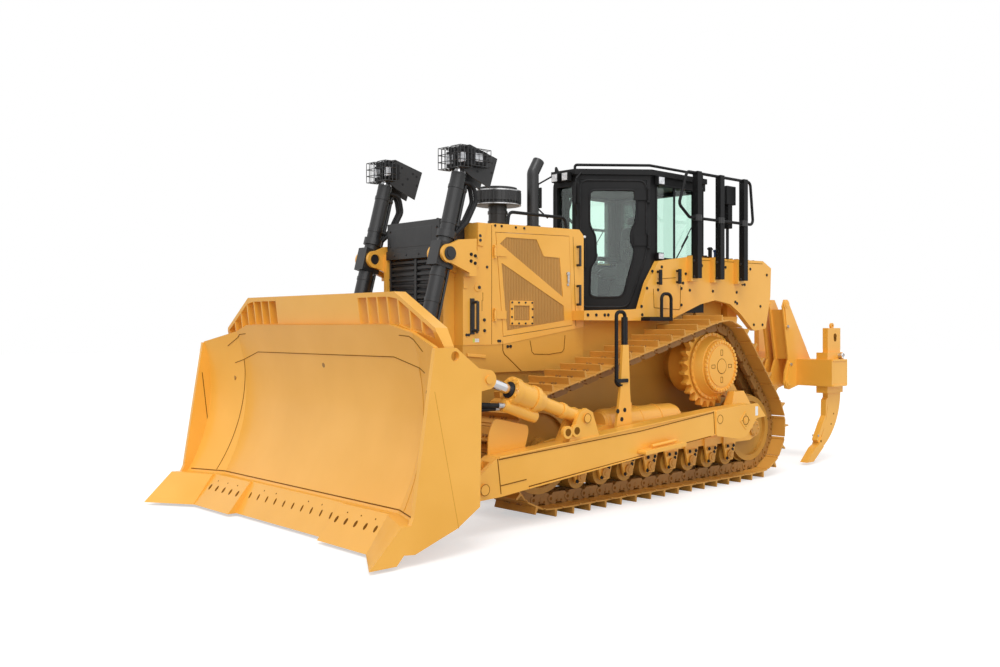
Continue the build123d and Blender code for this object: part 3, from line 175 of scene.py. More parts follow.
def add_node(tree, kind, **settings):
    """A node with its settings; a setting that names an input sets that socket."""
    made = tree.nodes.new("ShaderNode" + kind)
    for key, value in settings.items():
        title = key.replace("_", " ")
        if title in made.inputs:
            made.inputs[title].default_value = value
        else:
            setattr(made, key, value)
    return made


def noise(tree, scale, detail=3.0, stretch=(1, 1, 1)):
    """Noise fixed to the object, with an optional stretch along each axis."""
    place = add_node(tree, "TexCoord")
    mapping = add_node(tree, "Mapping", Scale=stretch)
    pattern = add_node(tree, "TexNoise", Scale=scale, Detail=detail)
    tree.links.new(place.outputs["Object"], mapping.inputs["Vector"])
    tree.links.new(mapping.outputs["Vector"], pattern.inputs["Vector"])
    return pattern


def two_tones(tree, shader, pattern, first, second, low=0.35, high=0.65):
    """Colour that wanders between two tones with the pattern."""
    ramp = add_node(tree, "ValToRGB")
    for point, position, colour in zip(ramp.color_ramp.elements, (low, high), (first, second)):
        point.position, point.color = position, (*colour, 1)
    tree.links.new(pattern.outputs["Fac"], ramp.inputs["Fac"])
    tree.links.new(ramp.outputs["Color"], shader.inputs["Base Color"])
    return ramp


def uneven_gloss(tree, shader, pattern, low, high):
    """Roughness that wanders between two values."""
    spread = add_node(tree, "MapRange", To_Min=low, To_Max=high)
    tree.links.new(pattern.outputs["Fac"], spread.inputs["Value"])
    tree.links.new(spread.outputs["Result"], shader.inputs["Roughness"])


def bumped(tree, shader, height, distance, strength=0.4):
    """Fine relief from a height."""
    relief = add_node(tree, "Bump", Strength=strength, Distance=distance)
    tree.links.new(height, relief.inputs["Height"])
    tree.links.new(relief.outputs["Normal"], shader.inputs["Normal"])


def paint(name, first, second, rough=(0.3, 0.42), coat=0.25, peel=0.0006, shine=0.5):
    """Sprayed machine paint."""
    material, tree, shader = start_material(name, Coat_Weight=coat, Coat_Roughness=0.12, Specular_IOR_Level=shine)
    two_tones(tree, shader, noise(tree, 1.3), first, second)
    uneven_gloss(tree, shader, noise(tree, 11.0), *rough)
    bumped(tree, shader, noise(tree, 260.0, 1.0).outputs["Fac"], peel, 0.25)
    return material


# %% The machine's finishes
yellow = paint("amber_paint", (0.86, 0.425, 0.052), (0.92, 0.470, 0.072))
# the frame, idlers and rollers wear darker tones than the body paint: painted shade
shaded_frame_yellow, tree, shader = start_material("frame_paint_with_painted_shade", Coat_Weight=0.05)
painted_shade_tones = two_tones(tree, shader, noise(tree, 1.3), (0.46, 0.225, 0.030), (0.54, 0.270, 0.042))
uneven_gloss(tree, shader, noise(tree, 11.0), 0.42, 0.6)
# painted shade: the hull is dark and dull low down between the tracks, and its colour turns part of the way to the
# hood's amber above them
place = add_node(tree, "TexCoord")
axes = add_node(tree, "SeparateXYZ")
height = add_node(tree, "MapRange")
for socket, value in (("From Min", 1.18), ("From Max", 1.50), ("To Min", 0.0), ("To Max", 0.62)):
    height.inputs[socket].default_value = value
shade_to_amber_mix = add_node(tree, "MixRGB", Color2=(0.88, 0.440, 0.060, 1))
tree.links.new(place.outputs["Object"], axes.inputs["Vector"])
tree.links.new(axes.outputs["Z"], height.inputs["Value"])
tree.links.new(height.outputs["Result"], shade_to_amber_mix.inputs["Fac"])
tree.links.new(painted_shade_tones.outputs["Color"], shade_to_amber_mix.inputs["Color1"])
tree.links.new(shade_to_amber_mix.outputs["Color"], shader.inputs["Base Color"])
# the track shoes, roller caps and chain links are darker than the body paint: painted shade, deepest on the links
shaded_track_yellow = paint("track_paint", (0.55, 0.262, 0.043), (0.66, 0.325, 0.056), rough=(0.42, 0.6), coat=0.08,
                     peel=0.0015)
shaded_link_paint = paint("shaded_link_paint", (0.26, 0.125, 0.030), (0.37, 0.178, 0.040), rough=(0.45, 0.65), coat=0.05, peel=0.0015)
charcoal = paint("charcoal_paint", (0.0115, 0.0115, 0.0122), (0.0175, 0.0175, 0.0182), rough=(0.36, 0.5), coat=0.10)
cab_black = paint("cab_black", (0.0065, 0.0065, 0.0070), (0.0105, 0.0105, 0.0110), rough=(0.45, 0.6), coat=0.0,
                  shine=0.22)
iron = paint("painted_iron", (0.30, 0.16, 0.045), (0.42, 0.22, 0.06), rough=(0.5, 0.7), coat=0.0, peel=0.003)

chrome, tree, shader = start_material("rod_chrome", Base_Color=(0.82, 0.82, 0.84, 1), Metallic=1.0)
uneven_gloss(tree, shader, noise(tree, 30.0, stretch=(1, 1, 6)), 0.10, 0.2)

rubber, tree, shader = start_material("hose_rubber", Specular_IOR_Level=0.3)
two_tones(tree, shader, noise(tree, 25.0), (0.007, 0.007, 0.008), (0.015, 0.015, 0.016))
uneven_gloss(tree, shader, noise(tree, 60.0), 0.5, 0.65)

plastic, tree, shader = start_material("console_plastic")
two_tones(tree, shader, noise(tree, 8.0), (0.035, 0.036, 0.038), (0.055, 0.056, 0.058))
uneven_gloss(tree, shader, noise(tree, 50.0), 0.5, 0.62)
bumped(tree, shader, noise(tree, 700.0, 2.0).outputs["Fac"], 0.0006)

cloth, tree, shader = start_material("seat_cloth", Roughness=0.9, Sheen_Weight=0.35, Sheen_Roughness=0.5)
two_tones(tree, shader, noise(tree, 40.0), (0.020, 0.021, 0.024), (0.042, 0.043, 0.048))
bumped(tree, shader, noise(tree, 900.0, 1.0).outputs["Fac"], 0.0012)

glass, tree, shader = start_material("tinted_glass", Base_Color=(0.80, 0.97, 0.89, 1), Transmission_Weight=1.0,
                                     IOR=1.45)
uneven_gloss(tree, shader, noise(tree, 3.0), 0.0, 0.03)

lens, tree, shader = start_material("lamp_lens", Coat_Weight=0.8, Coat_Roughness=0.03)
two_tones(tree, shader, noise(tree, 45.0), (0.55, 0.57, 0.6), (0.85, 0.87, 0.9))
uneven_gloss(tree, shader, noise(tree, 90.0), 0.08, 0.2)
print("finishes", len(bpy.data.materials))

# %% [markdown]
# ## Dressing the CAD nodes
# A CAD node whose shape is right keeps its mesh, and only its material changes.
# A short table says which finish each node of the machine wears.
# %% Finishes of the CAD nodes
FINISHES = {
    yellow: ("blade_structure moldboard cutting_edges rock_guard push_arms tilt_barrels track_frames hood "
             "engine_door_left engine_door_right fenders fuel_tank final_drives ripper_beam "
             "ripper_bracket ripper_link ripper_shanks ripper_upper_links ripper_barrels sprockets radiator_guard"),
    # the track and frame finishes below carry painted shade
    shaded_track_yellow: "track_left track_right",
    shaded_frame_yellow: "main_frame idlers_and_rollers",
    charcoal: "air_precleaner exhaust_stack lift_barrels lift_lamps lift_rods radiator_grille",
    cab_black: "cab cab_roof cab_door_left cab_door_right handrails",
    chrome: "tilt_rods ripper_rods",
    glass: "cab_glass door_glass_left door_glass_right",
    plastic: "control_console",
    cloth: "operator_seat",
    iron: "engine",
    rubber: "lift_hoses",
}
for finish, names in FINISHES.items():
    for name in names.split():
        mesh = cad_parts[name].data
        mesh.materials.clear()
        mesh.materials.append(finish)
print("dressed", sum(len(names.split()) for names in FINISHES.values()), "nodes")

# %% [markdown]
# ## Engine doors
# Each door is a pressed frame around two fields of perforated, ribbed sheet that let hot air out.
# The holes could be cut one by one, but thousands of them would only shimmer from a step away.
# So the ribs are real bars clipped to the field's outline, and the holes are a pattern in the finish.
# %% Perforated sheet
perforated, tree, shader = start_material("perforated_sheet", Roughness=0.55)
place = add_node(tree, "TexCoord")
cells = add_node(tree, "TexVoronoi", feature="F1", Scale=95.0, Randomness=0.0)
tree.links.new(place.outputs["Object"], cells.inputs["Vector"])
# the dark brown dots are the holes: painted shade of the space behind the sheet
holes = add_node(tree, "ValToRGB")
for point, position, colour in zip(holes.color_ramp.elements, (0.30, 0.36),
                                   ((0.055, 0.030, 0.012), (0.46, 0.235, 0.060))):
    point.position, point.color = position, (*colour, 1)
tree.links.new(cells.outputs["Distance"], holes.inputs["Fac"])
tree.links.new(holes.outputs["Color"], shader.inputs["Base Color"])
bumped(tree, shader, cells.outputs["Distance"], 0.002)

bronze = paint("ribbed_sheet", (0.50, 0.262, 0.062), (0.60, 0.315, 0.075), rough=(0.45, 0.6), coat=0.0)
seam_paint = paint("seam_shadow", (0.17, 0.066, 0.007), (0.24, 0.095, 0.011), rough=(0.7, 0.9), coat=0.0, shine=0.1)
soft_seam = paint("crease_shadow", (0.62, 0.300, 0.036), (0.68, 0.335, 0.046), rough=(0.5, 0.7), coat=0.0, shine=0.2)
zinc, tree, shader = start_material("zinc_plate", Metallic=0.9)
two_tones(tree, shader, noise(tree, 60.0), (0.42, 0.42, 0.43), (0.62, 0.62, 0.62))
uneven_gloss(tree, shader, noise(tree, 90.0), 0.25, 0.4)


# %% Ribbed fields of the doors
def span_at(outline, x):
    """Lowest and highest z of an outline where the line at x crosses it."""
    cuts = []
    for (x0, z0), (x1, z1) in zip(outline, outline[1:] + outline[:1]):
        if (x0 - x) * (x1 - x) < 0:
            cuts.append(z0 + (z1 - z0) * (x - x0) / (x1 - x0))
    return (min(cuts), max(cuts)) if cuts else None


FIELDS = ([(1.541, 2.531), (1.460, 2.597), (1.066, 2.600), (0.970, 2.438), (0.750, 2.433), (0.705, 2.038)],
          [(1.521, 2.349), (0.694, 1.949), (0.682, 1.800), (1.450, 1.700)])
LOUVRE = ((1.110, 1.750), (1.410, 1.990))
DOOR_FACE = 0.622
RIB_PITCH = 0.0205
for side, body in ((1, "engine_door_left"), (-1, "engine_door_right")):
    sheet_bm, rib_bm = bmesh.new(), bmesh.new()
    for outline in FIELDS:
        rim = [(x * 0.998 + 0.002 * 1.1, z * 0.998 + 0.002 * 2.1) for x, z in outline]
        add_plate(sheet_bm, rim, side * (DOOR_FACE - 0.0096), side * (DOOR_FACE - 0.0080))
        x = min(p[0] for p in outline) + RIB_PITCH
        while x < max(p[0] for p in outline) - 0.01:
            span = span_at(outline, x)
            if LOUVRE[0][0] - 0.01 < x < LOUVRE[1][0] + 0.01 and outline is FIELDS[1]:
                parts = ((span[0], LOUVRE[0][1]), (LOUVRE[1][1], span[1]))
            else:
                parts = (span,)
            for low, high in parts:
                if high - low > 0.03:
                    add_side_box(rib_bm, side, (x - 0.0045, x + 0.0045), (0.6125, 0.6185), (low + 0.004, high - 0.004))
            x += RIB_PITCH
    piece(sheet_bm, f"perforated_fields_{body[12:]}", body, perforated)
    piece(rib_bm, f"field_ribs_{body[12:]}", body, bronze)

# %% Louvre frames, latches and screws of the doors
FRAME_BAR = 0.042
for side, body in ((1, "engine_door_left"), (-1, "engine_door_right")):
    (x0, z0), (x1, z1) = LOUVRE
    bm = bmesh.new()
    y0, y1 = sorted((side * 0.6195, side * 0.6250))
    left, right, low, high = x0 + 0.006, x1 - 0.006, z0 + 0.006, z1 - 0.006
    for a, b, c, d in ((left, right, low, low + FRAME_BAR), (left, right, high - FRAME_BAR, high),
                       (left, left + FRAME_BAR, low + 0.040, high - 0.040),
                       (right - FRAME_BAR, right, low + 0.040, high - 0.040)):
        add_box(bm, (a, y0, c), (b, y1, d))
    piece(bm, f"louvre_frame_{body[12:]}", body, yellow, rounding=0.0015)
    bm = bmesh.new()
    for i in range(8):
        x = x0 + 0.072 + i * 0.0225
        add_side_box(bm, side, (x, x + 0.009), (0.6125, 0.6185), (z0 + 0.055, z1 - 0.055))
    piece(bm, f"louvre_ribs_{body[12:]}", body, bronze)
    bm = bmesh.new()
    for i in range(4):
        for z in (z0 + 0.018, z1 - 0.018):
            add_bolt(bm, (x0 + 0.02 + i * (x1 - x0 - 0.04) / 3, side * 0.6265, z), (0, side, 0), 0.016)
    for i in (1, 2):
        for x in (x0 + 0.016, x1 - 0.016):
            add_bolt(bm, (x, side * 0.6265, z0 + i * (z1 - z0) / 3), (0, side, 0), 0.016)
    piece(bm, f"louvre_screws_{body[12:]}", body, charcoal)
    bm = bmesh.new()
    add_pin(bm, side, (0.640, 2.275), (0.621, 0.640), 0.021)
    add_side_box(bm, side, (0.628, 0.652), (0.630, 0.641), (2.185, 2.270))
    add_pin(bm, side, (0.640, 2.165), (0.621, 0.634), 0.014)
    piece(bm, f"door_latch_{body[12:]}", body, zinc, rounding=0.002)

# %% [markdown]
# ## Hood and radiator guard
# The guard is the thick casting ahead of the doors; hoses, handles and brackets are bolted to it.
# Small loose pieces like these give a machine its scale, so each is a bar, plate or bolt in its real place.
# %% Grab handles and bolts on the guard
bm = bmesh.new()
for side in SIDES:
    add_side_box(bm, side, (1.855, 1.905), (0.618, 0.632), (1.665, 2.000))
    for z in (1.700, 1.965):
        add_rod(bm, (1.880, side * 0.630, z), (1.862, side * 0.684, z), 0.015, sides=14)
        add_pin(bm, side, (1.880, z), (0.631, 0.638), 0.022, sides=18)
    add_rod(bm, (1.862, side * 0.684, 1.693), (1.862, side * 0.684, 1.972), 0.015, sides=14)
piece(bm, "guard_handles", "chassis", charcoal, rounding=0.004)

bm = bmesh.new()
for side in SIDES:
    for x, z, size in ((1.790, 2.590, 0.032), (1.788, 2.548, 0.032), (1.733, 1.800, 0.026), (1.730, 1.700, 0.026),
                       (1.822, 1.690, 0.026), (1.945, 1.660, 0.022), (1.918, 1.660, 0.022), (1.800, 2.105, 0.034),
                       (1.700, 2.300, 0.022), (1.560, 1.600, 0.022), (1.540, 1.600, 0.022)):
        add_side_bolt(bm, side, (x, z), 0.6205, size)
piece(bm, "guard_bolts", "chassis", charcoal)

bm = bmesh.new()
for side in SIDES:
    y0, y1 = sorted((side * 0.6195, side * 0.6300))
    add_plate(bm, [(1.812, 2.712), (1.812, 2.500), (1.752, 2.490), (1.700, 2.712)], y0, y1)
    add_pin(bm, side, (1.812, 2.105), (0.6195, 0.6275), 0.042)
    add_plate(bm, [(1.985, 2.440), (1.850, 2.420), (1.800, 2.300), (1.880, 2.250), (1.940, 2.090), (1.985, 2.090)],
              y0, y1)
    add_plate(bm, [(1.940, 1.490), (1.720, 1.470), (1.720, 1.440), (1.940, 1.458)], y0, y1)
piece(bm, "guard_brackets", "chassis", yellow, rounding=0.004)

bm = bmesh.new()
for side in SIDES:
    for x, z in ((1.905, 2.395), (1.845, 2.380), (1.915, 2.335), (1.855, 2.315)):
        add_side_bolt(bm, side, (x, z), 0.6305, 0.026)
piece(bm, "bracket_bolts", "chassis", charcoal)

# %% Handles on the hood's rear strip and seams
bm = bmesh.new()
for side in SIDES:
    for low, high in ((2.370, 2.560), (1.965, 2.155)):
        for z in (low, high):
            add_pin(bm, side, (0.500, z), (0.615, 0.665), 0.013, sides=14)
        add_rod(bm, (0.500, side * 0.665, low - 0.012), (0.500, side * 0.665, high + 0.012), 0.013, sides=14)
piece(bm, "hood_handles", "chassis", charcoal, rounding=0.004)

bm = bmesh.new()
for side in SIDES:
    for start, end in (((1.642, 2.700), (1.642, 1.570)), ((0.560, 2.660), (0.520, 1.745)),
                       ((1.750, 2.060), (1.750, 1.980)),
                       ((1.760, 1.985), (1.760, 1.885))):
        add_rod(bm, (start[0], side * 0.620, start[1]), (end[0], side * 0.620, end[1]), 0.0028, sides=8)
piece(bm, "hood_seams", "chassis", seam_paint)

# %% Blank labels and the nose's lower cover
def printed(name, first, second):
    """A sticker's coated film."""
    material, tree, shader = start_material(name, Coat_Weight=0.4)
    two_tones(tree, shader, noise(tree, 60.0), first, second)
    uneven_gloss(tree, shader, noise(tree, 80.0), 0.3, 0.4)
    return material


label = printed("blank_label", (0.78, 0.78, 0.76), (0.86, 0.86, 0.84))
label_green = printed("blank_label_green", (0.55, 0.66, 0.05), (0.64, 0.74, 0.08))
bm, green_bm = bmesh.new(), bmesh.new()
add_box(bm, (1.796, 0.6200, 1.591), (1.845, 0.6212, 1.625))
add_box(green_bm, (1.849, 0.6200, 1.589), (1.868, 0.6212, 1.627))
piece(bm, "guard_label", "chassis", label)
piece(green_bm, "guard_label_green", "chassis", label_green)
bm = bmesh.new()
add_box(bm, (2.108, -0.440, 2.392), (2.114, 0.440, 2.475))
for y in (-0.3, -0.1, 0.1, 0.3):
    add_bolt(bm, (2.114, y, 2.432), (1, 0, 0), 0.018)
piece(bm, "nose_cover", "chassis", charcoal, rounding=0.002)
bm = bmesh.new()
for side in SIDES:
    for x, z in ((1.966, 2.402), (1.918, 2.390), (1.968, 2.340), (1.920, 2.322)):
        add_side_bolt(bm, side, (x, z), 0.7155, 0.026)
piece(bm, "ear_bolts", "chassis", rubber)

# %% [markdown]
# ## Blade
# The mouldboard is rolled plate: a middle panel, a cap along the top and a wing panel at each end, welded together.
# The welds read as fine dark lines that follow the curve. A thin bar is bent along each of them,
# because a line drawn in the finish would lose its edge close up.
# %% Weld lines of the mouldboard
ARC = (4.638, 1.123, 1.577)      # centre x, z and radius of the mouldboard's hollow face
CENTRE_HALF, WING_END, WING_AHEAD = 1.480, 1.930, 0.163


def face_point(y, z, lift=0.001):
    """A point on the hollow face of the mouldboard, a little proud of it."""
    x = ARC[0] - math.sqrt(ARC[2] ** 2 - (z - ARC[1]) ** 2)
    reach = max(0.0, (abs(y) - CENTRE_HALF) / (WING_END - CENTRE_HALF))
    return Vector((x + reach * WING_AHEAD + lift, y, z))


def add_line(bm, points, radius=0.0035):
    """A thin bar bent through the points."""
    for start, end in zip(points, points[1:]):
        add_rod(bm, start, end, radius, sides=6)


def between(start, end, steps):
    """Evenly spaced (y, z) places from start to end."""
    return [(start[0] + (end[0] - start[0]) * i / steps, start[1] + (end[1] - start[1]) * i / steps)
            for i in range(steps + 1)]


def add_weld(bm, side, start, end, steps, radius=0.0035):
    """A line on the mouldboard's face between two (y, z) places."""
    add_line(bm, [face_point(side * y, z) for y, z in between(start, end, steps)], radius)


bm = bmesh.new()
add_weld(bm, 1, (-1.151, 1.492), (1.151, 1.492), 4)
for side in SIDES:
    for start, end, steps in (((1.151, 1.492), (1.480, 1.410), 4), ((1.480, 1.410), (1.590, 1.377), 2),
                              ((1.300, 1.668), (1.430, 1.660), 2), ((1.430, 1.660), (1.640, 1.545), 4)):
        add_weld(bm, side, start, end, steps)
    for start, end in (((0.0, 0.322), (1.480, 0.322)), ((1.480, 0.322), (1.900, 0.322))):
        add_weld(bm, side, start, end, 4, 0.005)
piece(bm, "blade_welds", "blade", seam_paint)

# %% Creases and holes of the end plates
# the outer fold is soft, the inner one is a weld
bm, soft_bm = bmesh.new(), bmesh.new()
for side in SIDES:
    y0, y1 = sorted((side * 1.9690, side * 1.9702))
    add_plate(soft_bm, [(3.311, 1.258), (3.305, 1.258), (3.083, 0.221), (3.089, 0.221)], y0, y1)
    y0, y1 = sorted((side * 1.9285, side * 1.9310))
    add_plate(soft_bm if side > 0 else bm, [(3.313, 1.275), (3.305, 1.275), (3.237, 0.691), (3.245, 0.691)], y0, y1)
add_weld(soft_bm, 1, (1.470, 1.410), (1.590, 0.330), 26)
add_weld(bm, -1, (1.470, 1.410), (1.590, 0.330), 26)
piece(bm, "end_plate_creases", "blade", seam_paint)
piece(soft_bm, "soft_creases", "blade", soft_seam)

# the holes are dark brown discs: painted shade inside them
bm = bmesh.new()
for y, z in ((0.03, 1.395), (1.62, 1.225), (-1.62, 1.225)):
    place = face_point(y, z, 0.0)
    out = (Vector((ARC[0], y, ARC[1])) - place).normalized()
    add_rod(bm, place - out * 0.01, place + out * 0.0015, 0.022, sides=20)
piece(bm, "blade_holes", "blade", iron)

# %% [markdown]
# ## Cutting edges
# The edges wear out, so they are bolted on with plough bolts whose heads sit in slots.
# Each slot is a short flattened bar laid in the sloping face, found from the edge's own section.
# %% Bolt slots of the edges
EDGE_FOOT_Z, EDGE_TOP_Z = 0.030, 0.300
MIDDLE_EDGE, SIDE_EDGE = (3.505, 3.345), (3.585, 3.370)      # x of an edge's foot and of its top
SLOT_HALF = 0.030


def on_edge(y, share, foot, top):
    """A point on an edge's sloping face (share 0 at its foot, 1 at its top), the way up it and the way out."""
    middle = Vector((foot + (top - foot) * share, y, EDGE_FOOT_Z + (EDGE_TOP_Z - EDGE_FOOT_Z) * share))
    slope = Vector((top - foot, 0, EDGE_TOP_Z - EDGE_FOOT_Z)).normalized()
    return middle, slope, Vector((slope.z, 0, -slope.x))


bm = bmesh.new()
slots = [(-0.70 + 0.155 * i, MIDDLE_EDGE, 0.011) for i in range(10)]
slots += [(side * (0.86 + 0.140 * i), SIDE_EDGE, 0.016) for side in SIDES for i in range(5)]
for y, edge, half in slots:
    middle, slope, out = on_edge(y, 0.60, *edge)
    turn = Matrix((slope, Vector((0, 1, 0)), out)).transposed().to_4x4()
    place = Matrix.Translation(middle + out * 0.0005) @ turn @ Matrix.Diagonal((SLOT_HALF, half, 1, 1))
    bmesh.ops.create_cone(bm, cap_ends=True, segments=16, radius1=1, radius2=1, depth=0.003, matrix=place)
piece(bm, "edge_slots", "blade", seam_paint)

bm = bmesh.new()
for edge, places in ((MIDDLE_EDGE, (0.28, 0.5)), (SIDE_EDGE, (0.95, 1.15, 1.35))):
    for side in SIDES:
        for y in places:
            middle, _, out = on_edge(side * y, 0.82, *edge)
            add_rod(bm, middle - out * 0.002, middle + out * 0.0015, 0.007, sides=10)
piece(bm, "edge_dimples", "blade", seam_paint)

# %% [markdown]
# ## Work lamps on the lift cylinders
# Each bracket is folded plate, and the lamps on it sit in cages of welded wire against flying stones.
# A cage is a box with its faces turned to wires, so the wire operator makes each one from a cube cut into cells.
# The cages and the bracket keep the outline of the CAD block that they stand for.
# %% Lamp brackets
BRACKET = [(1.946, 3.421), (1.618, 3.326), (1.712, 3.035), (1.930, 3.120), (2.060, 3.200), (2.080, 3.390)]
LIFT_SIDE = 0.600
bracket_bm, bolt_bm, head_bm = bmesh.new(), bmesh.new(), bmesh.new()
for side in SIDES:
    middle = side * LIFT_SIDE
    for cheek in SIDES:
        y0, y1 = sorted((middle + cheek * 0.068, middle + cheek * 0.078))
        add_plate(bracket_bm, BRACKET, y0, y1)
        for x, z in ((1.960, 3.330), (1.900, 3.290), (1.870, 3.345), (1.735, 3.300), (1.690, 3.275), (1.690, 3.185),
                     (1.960, 3.255), (1.800, 3.240), (1.860, 3.180)):
            face = middle + cheek * 0.078
            add_rod(bolt_bm, (x, face - cheek * 0.002, z), (x, face + cheek * 0.0015, z), 0.012, sides=14)
    add_plate(bracket_bm, [(1.946, 3.421), (1.618, 3.326), (1.620, 3.318), (1.946, 3.413)], middle - 0.076,
              middle + 0.076)
    add_box(bracket_bm, (1.940, middle - 0.075, 3.200), (1.950, middle + 0.075, 3.400))
    add_rod(head_bm, (2.012, middle, 3.150), (2.000, middle, 3.205), 0.060, tip=0.045)
    add_rod(head_bm, (2.040, middle, 3.152), (2.036, middle, 3.172), 0.020, sides=6)
soft_bracket = piece(bracket_bm, "lamp_brackets", "lift_barrels", charcoal, rounding=0.003)
# the bracket's holes are black discs: painted shade inside them
piece(bolt_bm, "bracket_holes", "lift_barrels", rubber)
piece(head_bm, "barrel_heads", "lift_barrels", zinc)
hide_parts("lift_lamps")


# %% Lamp cages
def add_cage(bm, low, high, cells, wire):
    """A cage of square wire: a box cut into cells, with its faces turned into wires."""
    cage = bmesh.new()
    bmesh.ops.create_cube(cage, size=1)
    for axis, count in enumerate(cells):
        for i in range(1, count):
            cut = Vector((0, 0, 0))
            cut[axis] = i / count - 0.5
            way = Vector((0, 0, 0))
            way[axis] = 1
            bmesh.ops.bisect_plane(cage, geom=cage.verts[:] + cage.edges[:] + cage.faces[:], plane_co=cut, plane_no=way)
    low, high = Vector(low), Vector(high)
    bmesh.ops.transform(cage, verts=cage.verts[:],
                        matrix=Matrix.Translation((low + high) / 2) @ Matrix.Diagonal((*(high - low), 1)))
    bmesh.ops.wireframe(cage, faces=cage.faces[:], thickness=wire, offset=0, use_replace=True, use_boundary=True,
                        use_even_offset=True)
    mesh = bpy.data.meshes.new("cage")
    cage.to_mesh(mesh)
    bm.from_mesh(mesh)
    bpy.data.meshes.remove(mesh)
    cage.free()


cage_bm, body_bm, lens_bm = bmesh.new(), bmesh.new(), bmesh.new()
for side in SIDES:
    for out in SIDES:
        middle = side * LIFT_SIDE + out * 0.095
        add_cage(cage_bm, (2.000, middle - 0.073, 3.192), (2.128, middle + 0.073, 3.388), (3, 3, 3), 0.0075)
        add_box(body_bm, (1.950, middle - 0.060, 3.215), (2.045, middle + 0.060, 3.365))
        add_box(lens_bm, (2.042, middle - 0.042, 3.245), (2.064, middle + 0.042, 3.335))
        add_rod(body_bm, (1.990, middle, 3.360), (1.990, middle, 3.398), 0.010, sides=10)
    wide = side * (LIFT_SIDE + 0.100)
    add_cage(cage_bm, (1.775, min(wide - side * 0.020, wide + side * 0.070), 3.215),
             (2.012, max(wide - side * 0.020, wide + side * 0.070), 3.372), (5, 1, 3), 0.0075)
    add_side_box(body_bm, side, (1.800, 1.990), (0.678, 0.735), (3.235, 3.355))
    add_side_box(lens_bm, side, (1.850, 1.935), (0.730, 0.745), (3.260, 3.335))
piece(cage_bm, "lamp_cages", "lift_barrels", charcoal)
piece(body_bm, "lamp_bodies", "lift_barrels", rubber, rounding=0.006)
piece(lens_bm, "lamp_lenses", "lift_barrels", lens, rounding=0.004)

# %% [markdown]
# ## Pipes of the lift cylinders
# Oil reaches a cylinder's far end through a steel pipe clamped along its barrel.
# The pipes are straight bars beside the barrel, set by the cylinder's own axis so that they stay parallel to it.
# %% Pipes, clips and trunnion bosses
TRUNNION, WAY = Vector((2.210, 0, 2.400)), Vector((0.2495, 0, -0.9684))
ACROSS = Vector((-0.9684, 0, -0.2495))


def on_barrel(side, down, out, lateral=0.0):
    """A place beside a lift barrel: down along it, out to its rear and lateral along y."""
    place = TRUNNION + WAY * down + ACROSS * out
    return Vector((place.x, side * (LIFT_SIDE + lateral), place.z))


pipe_bm, clip_bm = bmesh.new(), bmesh.new()
for side in SIDES:
    add_rod(pipe_bm, on_barrel(side, -0.700, 0.102), on_barrel(side, -0.105, 0.102), 0.018, sides=16)
    add_rod(pipe_bm, on_barrel(side, 0.130, 0.088, 0.025), on_barrel(side, 0.690, 0.088, 0.025), 0.014, sides=16)
    add_rod(pipe_bm, on_barrel(side, 0.130, 0.088, -0.025), on_barrel(side, 0.600, 0.088, -0.025), 0.014, sides=16)
    for down, out in ((-0.640, 0.060), (-0.300, 0.060), (0.200, 0.050), (0.440, 0.050), (0.660, 0.050)):
        corner = on_barrel(side, down, out)
        add_rod(clip_bm, on_barrel(side, down - 0.018, 0.0), on_barrel(side, down + 0.018, 0.0), 0.0745, sides=40)
        add_rod(clip_bm, corner, on_barrel(side, down, out + 0.055), 0.024, sides=12)
    add_rod(clip_bm, on_barrel(side, 0.690, 0.0), on_barrel(side, 0.722, 0.0), 0.082, sides=40)
    for across, up in on_circle(8, 1.0, 22):
        way = ACROSS * across + Vector((0, 1, 0)) * up
        face = on_barrel(side, -0.216, 0.0) + way * 0.079
        add_bolt(clip_bm, face, -WAY, 0.014)
    for lateral in (0.0755, -0.0755):
        for down in (-0.075, 0.098):
            for out in (-0.070, 0.070):
                add_rod(clip_bm, on_barrel(side, down, out, lateral), on_barrel(side, down, out, lateral * 1.045),
                        0.013, sides=6)
    hub = side * 0.7155
    add_rod(clip_bm, (2.210, hub, 2.400), (2.210, hub + side * 0.014, 2.400), 0.062, sides=40)
    add_rod(clip_bm, (2.210, hub + side * 0.012, 2.400), (2.210, hub + side * 0.020, 2.400), 0.040, sides=32)
piece(pipe_bm, "lift_pipes", "lift_barrels", charcoal)
piece(clip_bm, "pipe_clips", "lift_barrels", charcoal, rounding=0.0025)

# %% [markdown]
# ## Nose and radiator grille
# The grille is a stack of louvres with a bar down the middle; the plate above it is left blank.
# %% Louvres of the grille
bm = bmesh.new()
for i in range(15):
    z = 1.700 + 0.050 * i
    for side in SIDES:
        y0, y1 = sorted((side * 0.028, side * 0.408))
        add_plate(bm, [(2.050, z), (2.074, z - 0.022), (2.078, z - 0.020), (2.054, z + 0.004)], y0, y1)
piece(bm, "grille_louvres", "chassis", charcoal)
bm = bmesh.new()
for side in SIDES:
    add_side_box(bm, side, (2.046, 2.082), (0.405, 0.432), (1.660, 2.440))
    for z in (1.720, 2.000, 2.200, 2.400):
        add_bolt(bm, (2.083, side * 0.418, z), (1, 0, 0), 0.018)
add_box(bm, (2.104, -0.300, 2.505), (2.110, 0.300, 2.690))
for side in SIDES:
    for z in (2.525, 2.670):
        add_bolt(bm, (2.110, side * 0.380, z), (1, 0, 0), 0.020)
    add_side_box(bm, side, (1.860, 2.080), (0.426, 0.434), (2.480, 2.720))
piece(bm, "nose_plate", "chassis", charcoal, rounding=0.003)
bm = bmesh.new()
for side in SIDES:
    for x in (1.840, 1.960, 2.080):
        add_bolt(bm, (x, side * 0.360, 2.746), (0, 0, 1), 0.022)
    for z in (2.050, 2.230, 2.330):
        add_bolt(bm, (1.985, side * 0.470, z), (1, 0, 0), 0.022)
piece(bm, "nose_bolts", "chassis", rubber)

